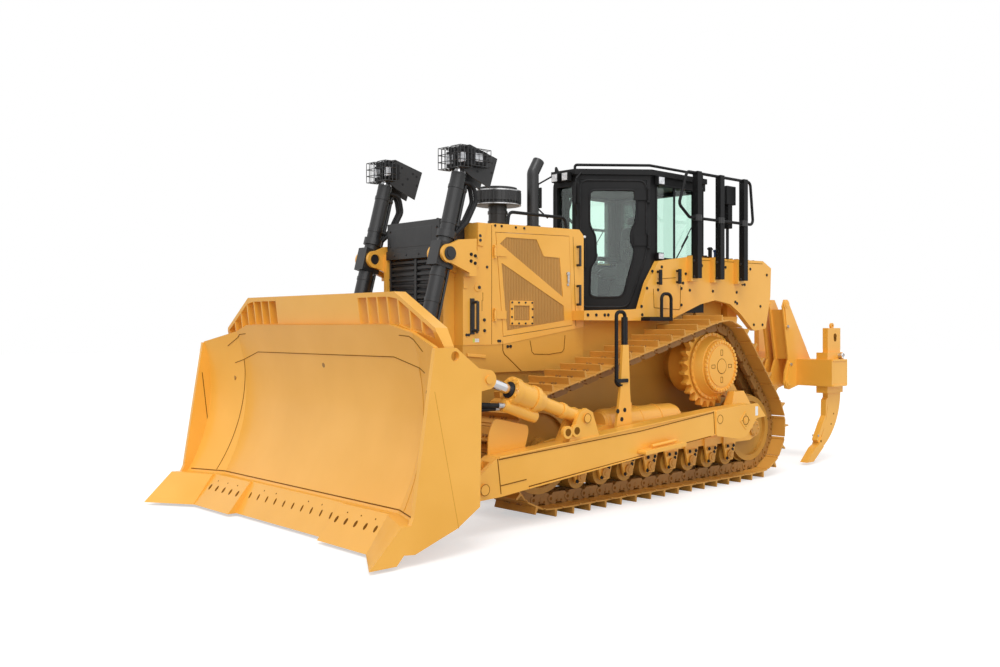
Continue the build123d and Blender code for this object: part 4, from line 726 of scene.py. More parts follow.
# %% [markdown]
# ## Cab
# A cab's glass is held by black rubber gaskets, and its doors have rounded, waisted windows.
# The CAD door has straight edges, so black corner pieces and the waist's two blocks sit on the glass,
# and gasket bars follow every edge. They are drawn in the door's own plane and then turned into place.
# %% Door gaskets, waist and handle
DOOR_FRONT, DOOR_REAR = Vector((0.080, 0.175, 0.0)), Vector((-0.532, 0.720, 0.0))
DOOR_LENGTH = (DOOR_REAR - DOOR_FRONT).length
DOOR_ALONG = (DOOR_REAR - DOOR_FRONT).normalized()
DOOR_OUT = Vector((DOOR_ALONG.y, -DOOR_ALONG.x, 0))


def in_door(u, z, out=0.0):
    """A place u along the left door from its front, z up and out of its face."""
    place = DOOR_FRONT + DOOR_ALONG * u + DOOR_OUT * out
    return Vector((place.x, place.y, z))


def rounded(outline, radius, steps=6):
    """The outline with each corner turned into an arc."""
    points = []
    count = len(outline)
    for i in range(count):
        before, corner, after = (Vector((*outline[(i + k) % count], 0)) for k in (-1, 0, 1))
        reach = min(radius, (before - corner).length * 0.45, (after - corner).length * 0.45)
        start = corner + (before - corner).normalized() * reach
        end = corner + (after - corner).normalized() * reach
        for step in range(steps + 1):
            t = step / steps
            mixed = start * (1 - t) ** 2 + corner * 2 * t * (1 - t) + end * t ** 2
            points.append((mixed.x, mixed.y))
    return points


def add_door_ring(bm, outer, inner, out0, out1):
    """A flat frame between two outlines of the same count of points, in the door's plane."""
    loops = []
    for out in (out0, out1):
        for outline in (outer, inner):
            verts = [bm.verts.new(in_door(u, z, out)) for u, z in outline]
            loops.append([bm.edges.new((a, b)) for a, b in zip(verts, verts[1:] + verts[:1])])
    for a, b in ((0, 1), (2, 3), (0, 2), (1, 3)):
        bmesh.ops.bridge_loops(bm, edges=loops[a] + loops[b])


def add_door_bar(bm, outline, out, radius):
    """A round gasket bar along a closed outline in the door's plane."""
    for (u0, z0), (u1, z1) in zip(outline, outline[1:] + outline[:1]):
        add_rod(bm, in_door(u0, z0, out), in_door(u1, z1, out), radius, sides=8)


low, high = 1.945, 3.345
DOOR_EDGE = [(0.046, low + 0.006), (DOOR_LENGTH * 0.70, low + 0.006), (DOOR_LENGTH - 0.046, 2.520),
             (DOOR_LENGTH - 0.046, high - 0.006), (0.046, high - 0.006)]
GLASS_EDGE = [(0.135, low + 0.095), (DOOR_LENGTH * 0.70 - 0.038, low + 0.095), (DOOR_LENGTH - 0.135, 2.5675),
              (DOOR_LENGTH - 0.135, high - 0.095), (0.135, high - 0.095)]
WAIST = [(0.150, 2.060), (DOOR_LENGTH * 0.70 - 0.055, 2.060), (DOOR_LENGTH - 0.190, 2.480),
         (DOOR_LENGTH - 0.170, 2.590),
         (DOOR_LENGTH - 0.215, 2.660), (DOOR_LENGTH - 0.215, 2.790), (DOOR_LENGTH - 0.155,
                                                                      2.900), (DOOR_LENGTH - 0.150, high - 0.110),
         (0.150, high - 0.110), (0.150, 2.850), (0.215, 2.740), (0.225, 2.480), (0.160, 2.380)]
for mirror, name in HANDS:
    rubber_bm, frame_bm, handle_bm = bmesh.new(), bmesh.new(), bmesh.new()
    window = rounded(WAIST, 0.075)
    border = []
    for u, z in window:
        # the frame's outer line is the glass edge, met straight out from each point of the waisted window
        middle = Vector((DOOR_LENGTH * 0.47, 2.70))
        way = Vector((u, z)) - middle
        scale = 1.0
        for (u0, z0), (u1, z1) in zip(GLASS_EDGE, GLASS_EDGE[1:] + GLASS_EDGE[:1]):
            edge, normal = Vector((u1 - u0, z1 - z0)), Vector((z1 - z0, u0 - u1))
            facing = normal.dot(way)
            if facing > 1e-6:
                reach = normal.dot(Vector((u0, z0)) - middle) / facing
                scale = min(scale, reach) if scale != 1.0 else reach
        border.append((middle.x + way.x * scale * 1.02, middle.y + way.y * scale * 1.01))
    add_door_ring(frame_bm, border, window, -0.0155, -0.003)
    add_door_bar(rubber_bm, window, -0.002, 0.0105)
    add_door_bar(rubber_bm, rounded(DOOR_EDGE, 0.090), 0.001, 0.0115)
    for z in (2.400, 2.640):
        add_rod(handle_bm, in_door(0.100, z, 0.004), in_door(0.100, z, 0.040), 0.012, sides=12)
    add_rod(handle_bm, in_door(0.100, 2.385, 0.040), in_door(0.100, 2.655, 0.040), 0.014, sides=12)
    add_rod(handle_bm, in_door(0.095, 2.720, -0.001), in_door(0.095, 2.720, 0.008), 0.026, sides=24)
    lock_bm = bmesh.new()
    add_rod(lock_bm, in_door(0.095, 2.720, 0.007), in_door(0.095, 2.720, 0.014), 0.014, sides=20)
    for bm in (rubber_bm, frame_bm, handle_bm, lock_bm):
        bmesh.ops.scale(bm, vec=(1, mirror, 1), verts=bm.verts[:])
    body = f"cab_door_{name}"
    piece(rubber_bm, f"door_gaskets_{name}", body, rubber)
    piece(frame_bm, f"door_window_frame_{name}", body, cab_black)
    piece(handle_bm, f"door_handle_{name}", body, rubber)
    piece(lock_bm, f"door_lock_{name}", body, zinc)

# %% Gaskets, wiper and pillar of the side windows
bm = bmesh.new()
for side in SIDES:
    y = side * 0.7205
    outline = rounded([(-1.425, 2.495), (-0.635, 2.495), (-0.635, 3.305), (-1.425, 3.305)], 0.05)
    add_line(bm, [(x, y, z) for x, z in outline + outline[:1]], 0.010)
    add_rod(bm, (-0.975, side * 0.690, 2.500), (-0.975, side * 0.690, 3.300), 0.013, sides=10)
points = rounded([(-0.130, 2.295), (0.130, 2.295), (0.130, 3.285), (-0.130, 3.285)], 0.04)
add_line(bm, [(0.0815, y, z) for y, z in points + points[:1]], 0.009)
points = rounded([(-0.565, 2.495), (0.565, 2.495), (0.565, 3.305), (-0.565, 3.305)], 0.05)
add_line(bm, [(-1.5015, y, z) for y, z in points + points[:1]], 0.010)
piece(bm, "window_gaskets", "chassis", rubber)

bm = bmesh.new()
for side in SIDES:
    add_line(bm, [(-0.950, side * 0.728, 2.485), (-1.180, side * 0.726, 2.770)], 0.007)
    add_line(bm, [(-1.060, side * 0.724, 2.640), (-1.310, side * 0.724, 2.960)], 0.006)
    add_pin(bm, side, (-0.950, 2.485), (0.715, 0.735), 0.020, sides=16)
add_line(bm, [(0.092, 0.03, 2.280), (0.090, -0.055, 2.620)], 0.006)
add_line(bm, [(0.088, -0.045, 2.420), (0.088, -0.060, 2.900)], 0.005)
add_line(bm, [(-1.512, 0.10, 2.480), (-1.510, -0.18, 2.820)], 0.007)
add_line(bm, [(-1.508, -0.10, 2.680), (-1.508, -0.28, 3.050)], 0.006)
piece(bm, "wipers", "chassis", rubber)

# %% Cab lamps, mirrors and camera
box_bm, lens_bm, arm_bm = bmesh.new(), bmesh.new(), bmesh.new()
for side in SIDES:
    x, z, wide, tall = -0.640, 3.345, 0.110, 0.100
    add_side_box(box_bm, side, (x - wide / 2, x + wide / 2), (0.735, 0.790), (z - tall / 2, z + tall / 2))
    add_side_box(lens_bm, side, (x - wide * 0.40, x + wide * 0.40), (0.786, 0.796), (z - tall * 0.38, z + tall * 0.38))
    add_side_box(box_bm, side, (-0.700, -0.600), (0.728, 0.775), (2.475, 2.555))
    add_side_box(lens_bm, side, (-0.690, -0.610), (0.772, 0.780), (2.485, 2.545))
    add_box(box_bm, (0.100, side * 0.080 - 0.05, 3.330), (0.160, side * 0.080 + 0.05, 3.430))
    add_box(lens_bm, (0.156, side * 0.080 - 0.04, 3.340), (0.164, side * 0.080 + 0.04, 3.420))
    for y in (0.330, 0.580):
        add_box(box_bm, (-1.600, side * y - 0.07, 3.330), (-1.530, side * y + 0.07, 3.450))
        add_box(lens_bm, (-1.606, side * y - 0.055, 3.342), (-1.598, side * y + 0.055, 3.438))
    add_side_box(box_bm, side, (-1.935, -1.760), (0.735, 0.845), (3.180, 3.400))
    add_side_box(box_bm, side, (-1.880, -1.800), (0.745, 0.835), (2.900, 3.190))
    add_side_box(lens_bm, side, (-1.945, -1.933), (0.750, 0.830), (3.220, 3.330))
    add_line(arm_bm, [(-1.840, side * 0.790, 2.540), (-1.840, side * 0.790, 2.920)], 0.020)
    add_line(arm_bm, [(0.060, side * 0.240, 3.420), (0.200, side * 0.300, 3.330), (0.215, side * 0.300, 3.060),
                      (0.120, side * 0.230, 2.950)], 0.009)
    add_box(box_bm, (0.185, side * 0.300 - 0.045, 3.060), (0.205, side * 0.300 + 0.045, 3.290))
piece(box_bm, "cab_lamps", "chassis", cab_black, rounding=0.006)
piece(lens_bm, "cab_lamp_lenses", "chassis", lens, rounding=0.002)
piece(arm_bm, "mirror_arms", "chassis", rubber)

# %% [markdown]
# ## Operator's place
# The seat is foam under cloth, so it is made as three cushions with rounded forms.
# Everything hard round it, such as the levers and the screens, is small boxes and bars.
# %% Seat cushions
ROUNDNESS = 0.35     # 0 leaves a cushion a box, and 1 would make it a ball


def cushion(name, low, high):
    """A soft block: a subdivided box whose edges and corners are drawn in."""
    bm = bmesh.new()
    bmesh.ops.create_cube(bm, size=2)
    bmesh.ops.subdivide_edges(bm, edges=bm.edges[:], cuts=7, use_grid_fill=True)
    for v in bm.verts:
        x, y, z = v.co
        v.co = Vector([a * math.sqrt(1 - b * b / 2 * ROUNDNESS - c * c / 2 * ROUNDNESS)
                       for a, b, c in ((x, y, z), (y, z, x), (z, x, y))])
    low, high = Vector(low), Vector(high)
    bmesh.ops.transform(bm, verts=bm.verts[:],
                        matrix=Matrix.Translation((low + high) / 2) @ Matrix.Diagonal((*((high - low) / 2), 1)))
    made = piece(bm, name, "chassis", cloth, smooth=60)
    return made


seat = cushion("seat_cushion", (-1.150, -0.255, 2.300), (-0.655, 0.255, 2.428))
cushion("seat_back", (-1.198, -0.255, 2.440), (-1.062, 0.255, 2.940))
cushion("seat_headrest", (-1.190, -0.150, 2.945), (-1.075, 0.150, 3.048))
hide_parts("operator_seat")
bm = bmesh.new()
add_box(bm, (-1.080, -0.200, 1.965), (-0.740, 0.200, 2.060))
add_box(bm, (-1.040, -0.150, 2.060), (-0.800, 0.150, 2.300))
for side in SIDES:
    add_side_box(bm, side, (-1.120, -0.760), (0.262, 0.330), (2.520, 2.570))
    add_side_box(bm, side, (-1.140, -1.060), (0.262, 0.300), (2.300, 2.570))
piece(bm, "seat_base", "chassis", plastic, rounding=0.012)

# %% Levers, screen and pedals
bm = bmesh.new()
for side in SIDES:
    add_side_box(bm, side, (-0.760, -0.420), (0.300, 0.450), (2.200, 2.440))
    add_rod(bm, (-0.560, side * 0.375, 2.430), (-0.530, side * 0.375, 2.610), 0.014, sides=14)
    add_rod(bm, (-0.530, side * 0.375, 2.600), (-0.524, side * 0.375, 2.700), 0.030, tip=0.024, sides=18)
    add_box(bm, (-0.250, side * 0.130 - 0.05, 2.000), (-0.200, side * 0.130 + 0.05, 2.060))
add_box(bm, (-0.230, -0.150, 2.550), (-0.190, 0.150, 2.760))
add_box(bm, (-0.560, -0.500, 2.640), (-0.520, -0.300, 2.790))
piece(bm, "cab_controls", "chassis", plastic, rounding=0.008)
bm = bmesh.new()
add_box(bm, (-0.194, -0.130, 2.570), (-0.188, 0.130, 2.740))
add_box(bm, (-0.524, -0.488, 2.652), (-0.518, -0.312, 2.778))
piece(bm, "cab_screens", "chassis", lens)

# %% [markdown]
# ## Tracks
# A track is a chain of forged links, with a rolled shoe bolted on each.
# The CAD loop is one smooth ring with bars on it.
# Here a link with its shoe is drawn in its own frame and set on every pitch of the chain's path,
# so the shoes stay flat, and gaps open between them where the chain turns, as they do on a real track.
# %% The chain's path
REAR_IDLER, FRONT_IDLER, SPROCKET = (-1.775, 0.565, 0.565), (1.505, 0.596, 0.596), (-1.135, 1.300, 0.585)
TRACK_Y, SHOE_HALF = 1.0415, 0.280
PIN_INSET = 0.136           # from the grouser tips in to the pins
PITCH = 0.2159
TRUNNION_X, TRUNNION_Z = -1.085, 0.730


def chain_path(inset, steps=400):
    """Points of the closed loop at an inset from the grouser tips, clockwise seen from the left."""
    wheels = (REAR_IDLER, SPROCKET, FRONT_IDLER)
    normals = []
    for a, b in zip(wheels, wheels[1:] + wheels[:1]):
        reach = math.hypot(b[0] - a[0], b[1] - a[1])
        normals.append(math.atan2(b[1] - a[1], b[0] - a[0]) + math.pi / 2 + math.asin((b[2] - a[2]) / reach))
    points = []
    for i, wheel in enumerate(wheels):
        start, end = normals[i - 1], normals[i]
        turn = (start - end) % (2 * math.pi)
        for step in range(steps + 1):
            angle = start - turn * step / steps
            points.append(Vector((wheel[0] + (wheel[2] - inset) * math.cos(angle), 0,
                                  wheel[1] + (wheel[2] - inset) * math.sin(angle))))
    return points


def spaced(points, count, phase):
    """Count places evenly spaced along the closed line."""
    closed = points + points[:1]
    lengths = [0.0]
    for a, b in zip(closed, closed[1:]):
        lengths.append(lengths[-1] + (b - a).length)
    places, k = [], 0
    for i in range(count):
        goal = (i + phase) / count * lengths[-1]
        while lengths[k + 1] < goal:
            k += 1
        share = (goal - lengths[k]) / max(1e-9, lengths[k + 1] - lengths[k])
        places.append(closed[k].lerp(closed[k + 1], share))
    return places, lengths[-1]


path = chain_path(PIN_INSET)
_, around = spaced(path, 1, 0.0)
LINK_COUNT = round(around / PITCH)
pins, _ = spaced(path, LINK_COUNT, 0.53)
print("links on a track", LINK_COUNT, "pitch", round(around / LINK_COUNT, 4))

# %% One link with its shoe, set on every pitch
SHOE_UP = 0.056             # from the pins' line up to the shoe plate's inner face
LINK_SIDE = 0.082


def add_stud(bm, place, at, y0, y1, radius, sides):
    """A round bar across a link, at (s, n) in the link's own frame."""
    verts = add_rod(bm, (at[0], y0, at[1]), (at[0], y1, at[1]), radius, sides=sides)
    bmesh.ops.transform(bm, verts=verts, matrix=place)


def add_section(bm, outline, place, y0, y1):
    """A bar whose section is drawn in a link's own frame: s along the chain, n outwards."""
    verts = add_plate(bm, outline, y0, y1)
    bmesh.ops.transform(bm, verts=verts, matrix=place)


for side, name in HANDS:
    shoe_bm, link_bm, dark_bm = bmesh.new(), bmesh.new(), bmesh.new()
    for start, end in zip(pins, pins[1:] + pins[:1]):
        ahead = (end - start).normalized()
        out = Vector((-ahead.z, 0, ahead.x))
        length = (end - start).length
        turn = Matrix((ahead, Vector((0, 1, 0)), out)).transposed().to_4x4()
        place = Matrix.Translation(start + Vector((0, side * TRACK_Y, 0))) @ turn
        shoe = [(0.002, SHOE_UP), (length - 0.004, SHOE_UP), (length - 0.002, SHOE_UP - 0.009),
                (length + 0.024, SHOE_UP - 0.009),
                (length + 0.022, SHOE_UP - 0.002), (length - 0.001, SHOE_UP + 0.004), (length - 0.003, SHOE_UP + 0.014),
                (0.148, SHOE_UP + 0.016), (0.141, SHOE_UP + 0.080), (0.124, SHOE_UP + 0.080), (0.118, SHOE_UP + 0.016),
                (0.002, SHOE_UP + 0.012)]
        add_section(shoe_bm, shoe, place, -SHOE_HALF, SHOE_HALF)
        link = [(0.010, SHOE_UP), (0.060, SHOE_UP), (0.075, SHOE_UP - 0.018), (0.140, SHOE_UP - 0.018),
                (0.155, SHOE_UP),
                (length - 0.010, SHOE_UP), (length - 0.010, -0.030), (length - 0.035, -0.056), (0.035,
                        -0.056), (0.010, -0.030)]
        for cheek in SIDES:
            middle = cheek * LINK_SIDE
            add_section(link_bm, link, place, middle - 0.026, middle + 0.026)
            for s, radius, wide in ((0.0, 0.036, 0.033), (0.108, 0.024, 0.029)):
                add_stud(link_bm, place, (s, 0.0), middle - wide, middle + wide, radius, 14)
            for s, n, radius in ((0.0, 0.0, 0.016), (0.078, 0.026, 0.011), (0.138, 0.026, 0.011)):
                face = middle + cheek * (0.0335 if s == 0.0 else 0.0265)
                add_stud(dark_bm, place, (s, n), face - cheek * 0.001, face + cheek * 0.001, radius, 10)
        for y in (-0.105, 0.105, -0.060, 0.060):
            for s in (0.085, 0.150):
                verts = add_rod(link_bm, (s, y, SHOE_UP + 0.014), (s, y, SHOE_UP + 0.030), 0.014, sides=6)
                bmesh.ops.transform(link_bm, verts=verts, matrix=place)
    loop = piece(shoe_bm, f"track_shoes_{name}", "chassis", shaded_track_yellow, rounding=0.003)
    piece(link_bm, f"track_links_{name}", "chassis", shaded_link_paint)
    piece(dark_bm, f"link_holes_{name}", "chassis", seam_paint)
    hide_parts(f"track_{name}")

# %% [markdown]
# ## Rollers, idlers and final drives
# Bolts hold the roller shafts and the drive's cover. The covers and caps are turned discs with bolts set in circles,
# so one loop over a short table of radii and counts places them all.
# %% Roller caps, idler caps and frame details
ROLLER_X = [-1.311 + 0.336 * i for i in range(8)]
HANGER_FACE = 0.172
cap_bm, hole_bm, bar_bm = bmesh.new(), bmesh.new(), bmesh.new()
for side in SIDES:
    for cheek in SIDES:
        face = side * TRACK_Y + cheek * HANGER_FACE
        for i, x in enumerate(ROLLER_X):
            add_rod(cap_bm, (x, face, 0.311), (x, face + cheek * 0.022, 0.311), 0.052, sides=28)
            add_rod(cap_bm, (x, face, 0.311), (x, face + cheek * 0.030, 0.311), 0.028, sides=20)
            add_box(cap_bm, (x - 0.075, min(face, face + cheek * 0.014), 0.385),
                    (x + 0.075, max(face, face + cheek * 0.014), 0.430))
            for dx, z in ((-0.052, 0.408), (0.052, 0.408)):
                add_bolt(hole_bm, (x + dx, face + cheek * 0.014, z), (0, cheek, 0), 0.030)
            # black discs for the hangers' holes: painted shade inside them
            for dx, z in ((-0.052, 0.362), (0.048, 0.272)):
                add_rod(hole_bm, (x + dx, face - cheek * 0.001, z), (x + dx, face + cheek * 0.008, z), 0.019, sides=14)
        for x, z, _ in (REAR_IDLER, FRONT_IDLER):
            add_rod(cap_bm, (x, face, z), (x, face + cheek * 0.024, z), 0.085, sides=32)
            for dx, dz in on_circle(6, 0.062):
                add_bolt(cap_bm, (x + dx, face + cheek * 0.024, z + dz), (0, cheek, 0), 0.022)
    # the recoil housing's flanges and straps
    for x, radius in ((-0.50, 0.135), (-0.20, 0.158), (0.10, 0.156), (0.36, 0.160), (0.60, 0.138)):
        add_rod(bar_bm, (x - 0.014, side * TRACK_Y, 0.770), (x + 0.014, side * TRACK_Y, 0.770), radius, sides=40)
    for k in range(7):
        angle = math.radians(20 + 23 * k)
        add_bolt(bar_bm, (-0.520, side * TRACK_Y + 0.092 * math.cos(angle), 0.770 + 0.092 * math.sin(angle)),
                 (-1, 0, 0), 0.020)
    add_box(bar_bm, (0.180, side * TRACK_Y - 0.050, 0.900), (0.300, side * TRACK_Y + 0.050, 0.965))
    add_ring(bar_bm, (0.240, side * TRACK_Y, 0.985), (1, 0, 0), 0.034, 0.010, sides=20)
piece(cap_bm, "roller_caps", "chassis", shaded_track_yellow, rounding=0.002)
piece(hole_bm, "roller_bolts_and_hole_shade", "chassis", rubber)
piece(bar_bm, "recoil_housing_straps", "chassis", yellow, rounding=0.003)

# %% Final drive drum, cover and sprocket bolts
drum_bm, ring_bm, mark_bm = bmesh.new(), bmesh.new(), bmesh.new()
hub_x, hub_z, _ = SPROCKET
for side in SIDES:
    add_pin(drum_bm, side, (hub_x, hub_z), (1.092, 1.112), 0.372, sides=72)
    add_pin(drum_bm, side, (hub_x, hub_z), (1.100, 1.205), 0.345, tip=0.300, sides=72)
    for dx, dz in on_circle(30, 0.358, 6):
        add_bolt(ring_bm, (hub_x + dx, side * 1.112, hub_z + dz), (0, side, 0), 0.024)
    for dx, dz in on_circle(36, 0.268, 3):
        add_bolt(ring_bm, (hub_x + dx, side * 1.2305, hub_z + dz), (0, side, 0), 0.036)
    add_ring(mark_bm, (hub_x, side * 1.2385, hub_z), (0, 1, 0), 0.082, 0.0028, sides=40)
    add_pin(drum_bm, side, (hub_x, hub_z), (1.236, 1.243), 0.078, sides=40)
    for dx, dz in on_circle(4, 1.0):
        out = Vector((dx, 0, dz))
        middle = Vector((hub_x, side * 1.2385, hub_z)) + out * 0.150
        across = Vector((-out.z, 0, out.x))
        for offset in (-0.018, 0.018):
            add_rod(mark_bm, middle - out * 0.030 + across * offset, middle + out * 0.030 + across * offset, 0.0028,
                    sides=8)
        for end in (middle - out * 0.030, middle + out * 0.030):
            add_rod(mark_bm, end - across * 0.018, end + across * 0.018, 0.0028, sides=8)
    for dx, dz in on_circle(24, 0.345):
        add_bolt(ring_bm, (hub_x + dx, side * 1.0015, hub_z + dz), (0, -side, 0), 0.026)
piece(drum_bm, "final_drive_drums", "chassis", yellow, rounding=0.004)
piece(ring_bm, "final_drive_bolts", "chassis", yellow)
piece(mark_bm, "final_drive_grooves", "chassis", seam_paint)

# %% [markdown]
# ## Push arms and tilt cylinders
# A push arm is a welded box; its cap plates stand a little past the sides, which draws a line along each edge.
# The lines are bars, and the plates that are bolted or welded on are cut from flat stock.
# %% Arm seams, gusset and step
seam_bm, plate_bm, hole_bm, cap_bm = bmesh.new(), bmesh.new(), bmesh.new(), bmesh.new()
for side in SIDES:
    y = side * 1.5805
    for line in (((2.366, 0.632), (0.605, 0.737), (-0.541, 0.846)),
                 ((2.030, 0.372), (0.605, 0.500), (-0.017, 0.563), (-0.500, 0.604)),
                 ((-0.541, 0.858), (-0.561, 0.622)), ((2.378, 0.640), (2.341, 0.346)), ((2.341, 0.413), (2.060, 0.435)),
                 ((-0.629, 0.661), (-0.590, 0.620))):
        add_line(seam_bm, [(x, y, z) for x, z in line], 0.0045)
    y0, y1 = sorted((side * 1.578, side * 1.592))
    add_plate(plate_bm, [(2.366, 0.655), (-0.541, 0.870), (-0.541, 0.858), (2.366, 0.640)], y0, y1)
    add_plate(plate_bm, [(2.030, 0.352), (-0.017, 0.545), (-0.017, 0.557), (2.030, 0.366)], y0, y1)
    # cover round the trunnion, with its round and diamond caps
    add_plate(plate_bm, rounded([(-0.575, 0.868), (-0.981, 0.895), (-1.316, 0.903), (-1.474, 0.748), (-1.300, 0.740),
                                 (-1.120, 0.560),
                                 (-0.981, 0.535), (-0.575, 0.600)], 0.03), y0, y1)
    add_ring(seam_bm, (-0.640, side * 1.592, 0.770), (0, 1, 0), 0.046, 0.0030, sides=30)
    add_ring(seam_bm, (TRUNNION_X, side * 1.5985, TRUNNION_Z), (0, 1, 0), 0.048, 0.0035, sides=30)
    add_pin(cap_bm, side, (TRUNNION_X, TRUNNION_Z), (1.597, 1.604), 0.030, sides=24)
    for dx, dz in ((0.066, 0), (-0.066, 0), (0, 0.066), (0, -0.066)):
        add_pin(hole_bm, side, (TRUNNION_X + dx, TRUNNION_Z + dz), (1.597, 1.5992), 0.006, sides=10)
    # shield behind the blade, and the two lifting eyes under the tilt cylinder's base
    y0, y1 = sorted((side * 1.385, side * 1.399))
    add_plate(plate_bm, rounded([(2.335, 0.560), (2.325, 0.830), (2.262, 0.957), (1.880, 0.872), (1.868, 0.815),
                                 (1.940, 0.580)], 0.05), y0, y1)
    for x, z in ((1.592, 0.802), (1.482, 0.809)):
        add_pin(cap_bm, side, (x, z), (1.575, 1.612), 0.058, sides=32)
        add_pin(hole_bm, side, (x, z), (1.611, 1.6135), 0.034, sides=24)
    add_pin(cap_bm, side, (1.335, 0.910), (1.588, 1.600), 0.042, sides=28)
    add_ring(seam_bm, (1.335, side * 1.600, 0.910), (0, 1, 0), 0.042, 0.0025, sides=28)
    add_pin(cap_bm, side, (2.525, 0.400), (1.594, 1.600), 0.046, sides=28)
    add_ring(seam_bm, (2.525, side * 1.600, 0.400), (0, 1, 0), 0.046, 0.0025, sides=28)
    # step on the arm's side
    add_plate(plate_bm, rounded([(0.643, 0.520), (0.643, 0.560), (0.034, 0.600), (0.034, 0.555)], 0.018),
              *sorted((side * 1.585, side * 1.690)))
    add_rod(cap_bm, (0.502, side * 1.640, 0.592), (0.141, side * 1.640, 0.618), 0.016, sides=14)
piece(seam_bm, "arm_seams", "push_arms", seam_paint)
piece(plate_bm, "arm_plates", "push_arms", yellow, rounding=0.003)
piece(cap_bm, "arm_caps", "push_arms", yellow, rounding=0.003)
piece(hole_bm, "arm_holes", "push_arms", seam_paint)
bm = bmesh.new()
add_box(bm, (-1.316, 1.5915, 0.769), (-1.268, 1.5930, 0.868))
piece(bm, "arm_label", "push_arms", label)
bm = bmesh.new()
for side in SIDES:
    base = [bm.verts.new((x, side * y, 0.780)) for x in (-1.651, -1.213) for y in (1.165, 1.310)]
    top = [bm.verts.new((x, side * y, 1.016)) for x in (-1.492, -1.305) for y in (1.195, 1.280)]
    bmesh.ops.convex_hull(bm, input=base + top)
piece(bm, "rear_frame_caps", "chassis", yellow, rounding=0.006)

# %% Posts of the climbing handles
bm, hole_bm = bmesh.new(), bmesh.new()
for side in SIDES:
    for x, z in ((0.696, 0.922), (0.598, 0.928), (0.640, 0.841)):
        add_pin(hole_bm, side, (x, z), (1.374, 1.3775), 0.022, sides=20)
    add_side_box(bm, side, (0.548, 0.612), (1.340, 1.372), (1.330, 1.830))
    add_side_box(bm, side, (0.560, 0.715), (1.345, 1.392), (1.195, 1.232))
    add_rod(bm, (0.555, side * 1.372, 1.213), (0.725, side * 1.372, 1.213), 0.018, sides=16)
piece(bm, "climb_post_bars", "chassis", rubber, rounding=0.004)
# the posts' holes are black discs: painted shade inside them
piece(hole_bm, "climb_post_holes", "chassis", rubber)

# %% Tilt cylinder's glands, collars and hoses
BASE, EYE = Vector((1.335, 1.490, 0.910)), Vector((2.465, 1.490, 1.300))
TILT_WAY = (EYE - BASE).normalized()
TILT_UP = Vector((-TILT_WAY.z, 0, TILT_WAY.x))
profile = [(0.045, 0.060), (0.215, 0.060), (0.216, 0.072), (0.262, 0.072), (0.263, 0.060), (0.505, 0.060),
           (0.506, 0.088), (0.585, 0.100),
           (0.586, 0.118), (0.632, 0.118), (0.633, 0.105), (0.816, 0.105), (0.817, 0.121), (0.884, 0.121)]
barrel_bm, rod_bm, hose_bm = bmesh.new(), bmesh.new(), bmesh.new()
for side in SIDES:
    flip = Vector((1, side, 1))
    for (d0, r0), (d1, r1) in zip(profile, profile[1:]):
        if d1 - d0 > 0.002:
            add_rod(barrel_bm, (BASE + TILT_WAY * d0) * flip, (BASE + TILT_WAY * d1) * flip, r0, tip=r1, sides=44)
    add_rod(barrel_bm, (BASE - Vector((0, 0.045, 0))) * flip, (BASE + Vector((0, 0.045, 0))) * flip, 0.078, sides=36)
    for up, across in on_circle(10, 1.0, 10):
        way = TILT_UP * up + Vector((0, 1, 0)) * across
        add_bolt(barrel_bm, (BASE + TILT_WAY * 0.883 + way * 0.098) * flip, TILT_WAY * flip, 0.024)
    add_rod(hose_bm, (BASE + TILT_WAY * 0.884) * flip, (BASE + TILT_WAY * 0.894) * flip, 0.072, sides=32)
    low = BASE - TILT_UP * 0.140
    add_rod(barrel_bm, (low + TILT_WAY * 0.530) * flip, (low + TILT_WAY * 0.920) * flip, 0.054, sides=24)
    for d in (0.640, 0.850):
        clamp = (BASE + TILT_WAY * d - TILT_UP * 0.118) * flip
        add_box(barrel_bm, clamp - Vector((0.035, 0.040, 0.035)), clamp + Vector((0.035, 0.040, 0.035)))
    for offset, drop in ((0.020, 0.010), (-0.024, 0.055)):
        start = low + TILT_WAY * 0.900 + Vector((0, offset, -drop * 0.4))
        end = low + TILT_WAY * 1.160 + Vector((0, offset - 0.05, -drop - 0.060))
        add_rod(rod_bm, start * flip, start.lerp(end, 0.28) * flip, 0.024, sides=20)
        add_rod(hose_bm, start.lerp(end, 0.25) * flip, end * flip, 0.021, sides=18)
tilt = piece(barrel_bm, "tilt_barrel_turned", "tilt_barrels", yellow, rounding=0.0025)
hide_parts("tilt_barrels")
piece(rod_bm, "tilt_hose_ends", "tilt_barrels", zinc)
piece(hose_bm, "tilt_hoses", "tilt_barrels", rubber)

# %% [markdown]
# ## Fenders, tank and steps
# The fender is a folded wall that carries the platform, and most of what a close look shows on it is bolts.
# Their places are listed once and used for both sides.
# %% Bolts, panel lines and platform details
FENDER_BOLTS = [(-0.482, 2.341), (-1.055, 2.335), (-1.007, 2.229), (-0.980, 2.167), (-0.394, 2.154), (-0.576, 2.141),
                (-0.980, 1.982), (-0.305, 1.956), (-1.994, 2.034), (-2.030, 2.017), (-1.129, 2.151), (-1.556, 2.151),
                (-2.022, 2.150), (-2.141, 2.249), (-2.183, 2.247), (0.268, 1.858), (0.216, 1.859), (0.394, 1.857),
                (0.516, 1.856), (-0.316, 1.866), (-2.513, 1.989), (-2.375, 1.761), (-2.557, 1.761), (-2.650, 2.380),
                (-2.300, 2.440), (-1.800, 2.440), (-1.350, 2.440), (-0.640, 2.395)]
bolt_bm, seam_bm, step_bm, plate_bm = bmesh.new(), bmesh.new(), bmesh.new(), bmesh.new()
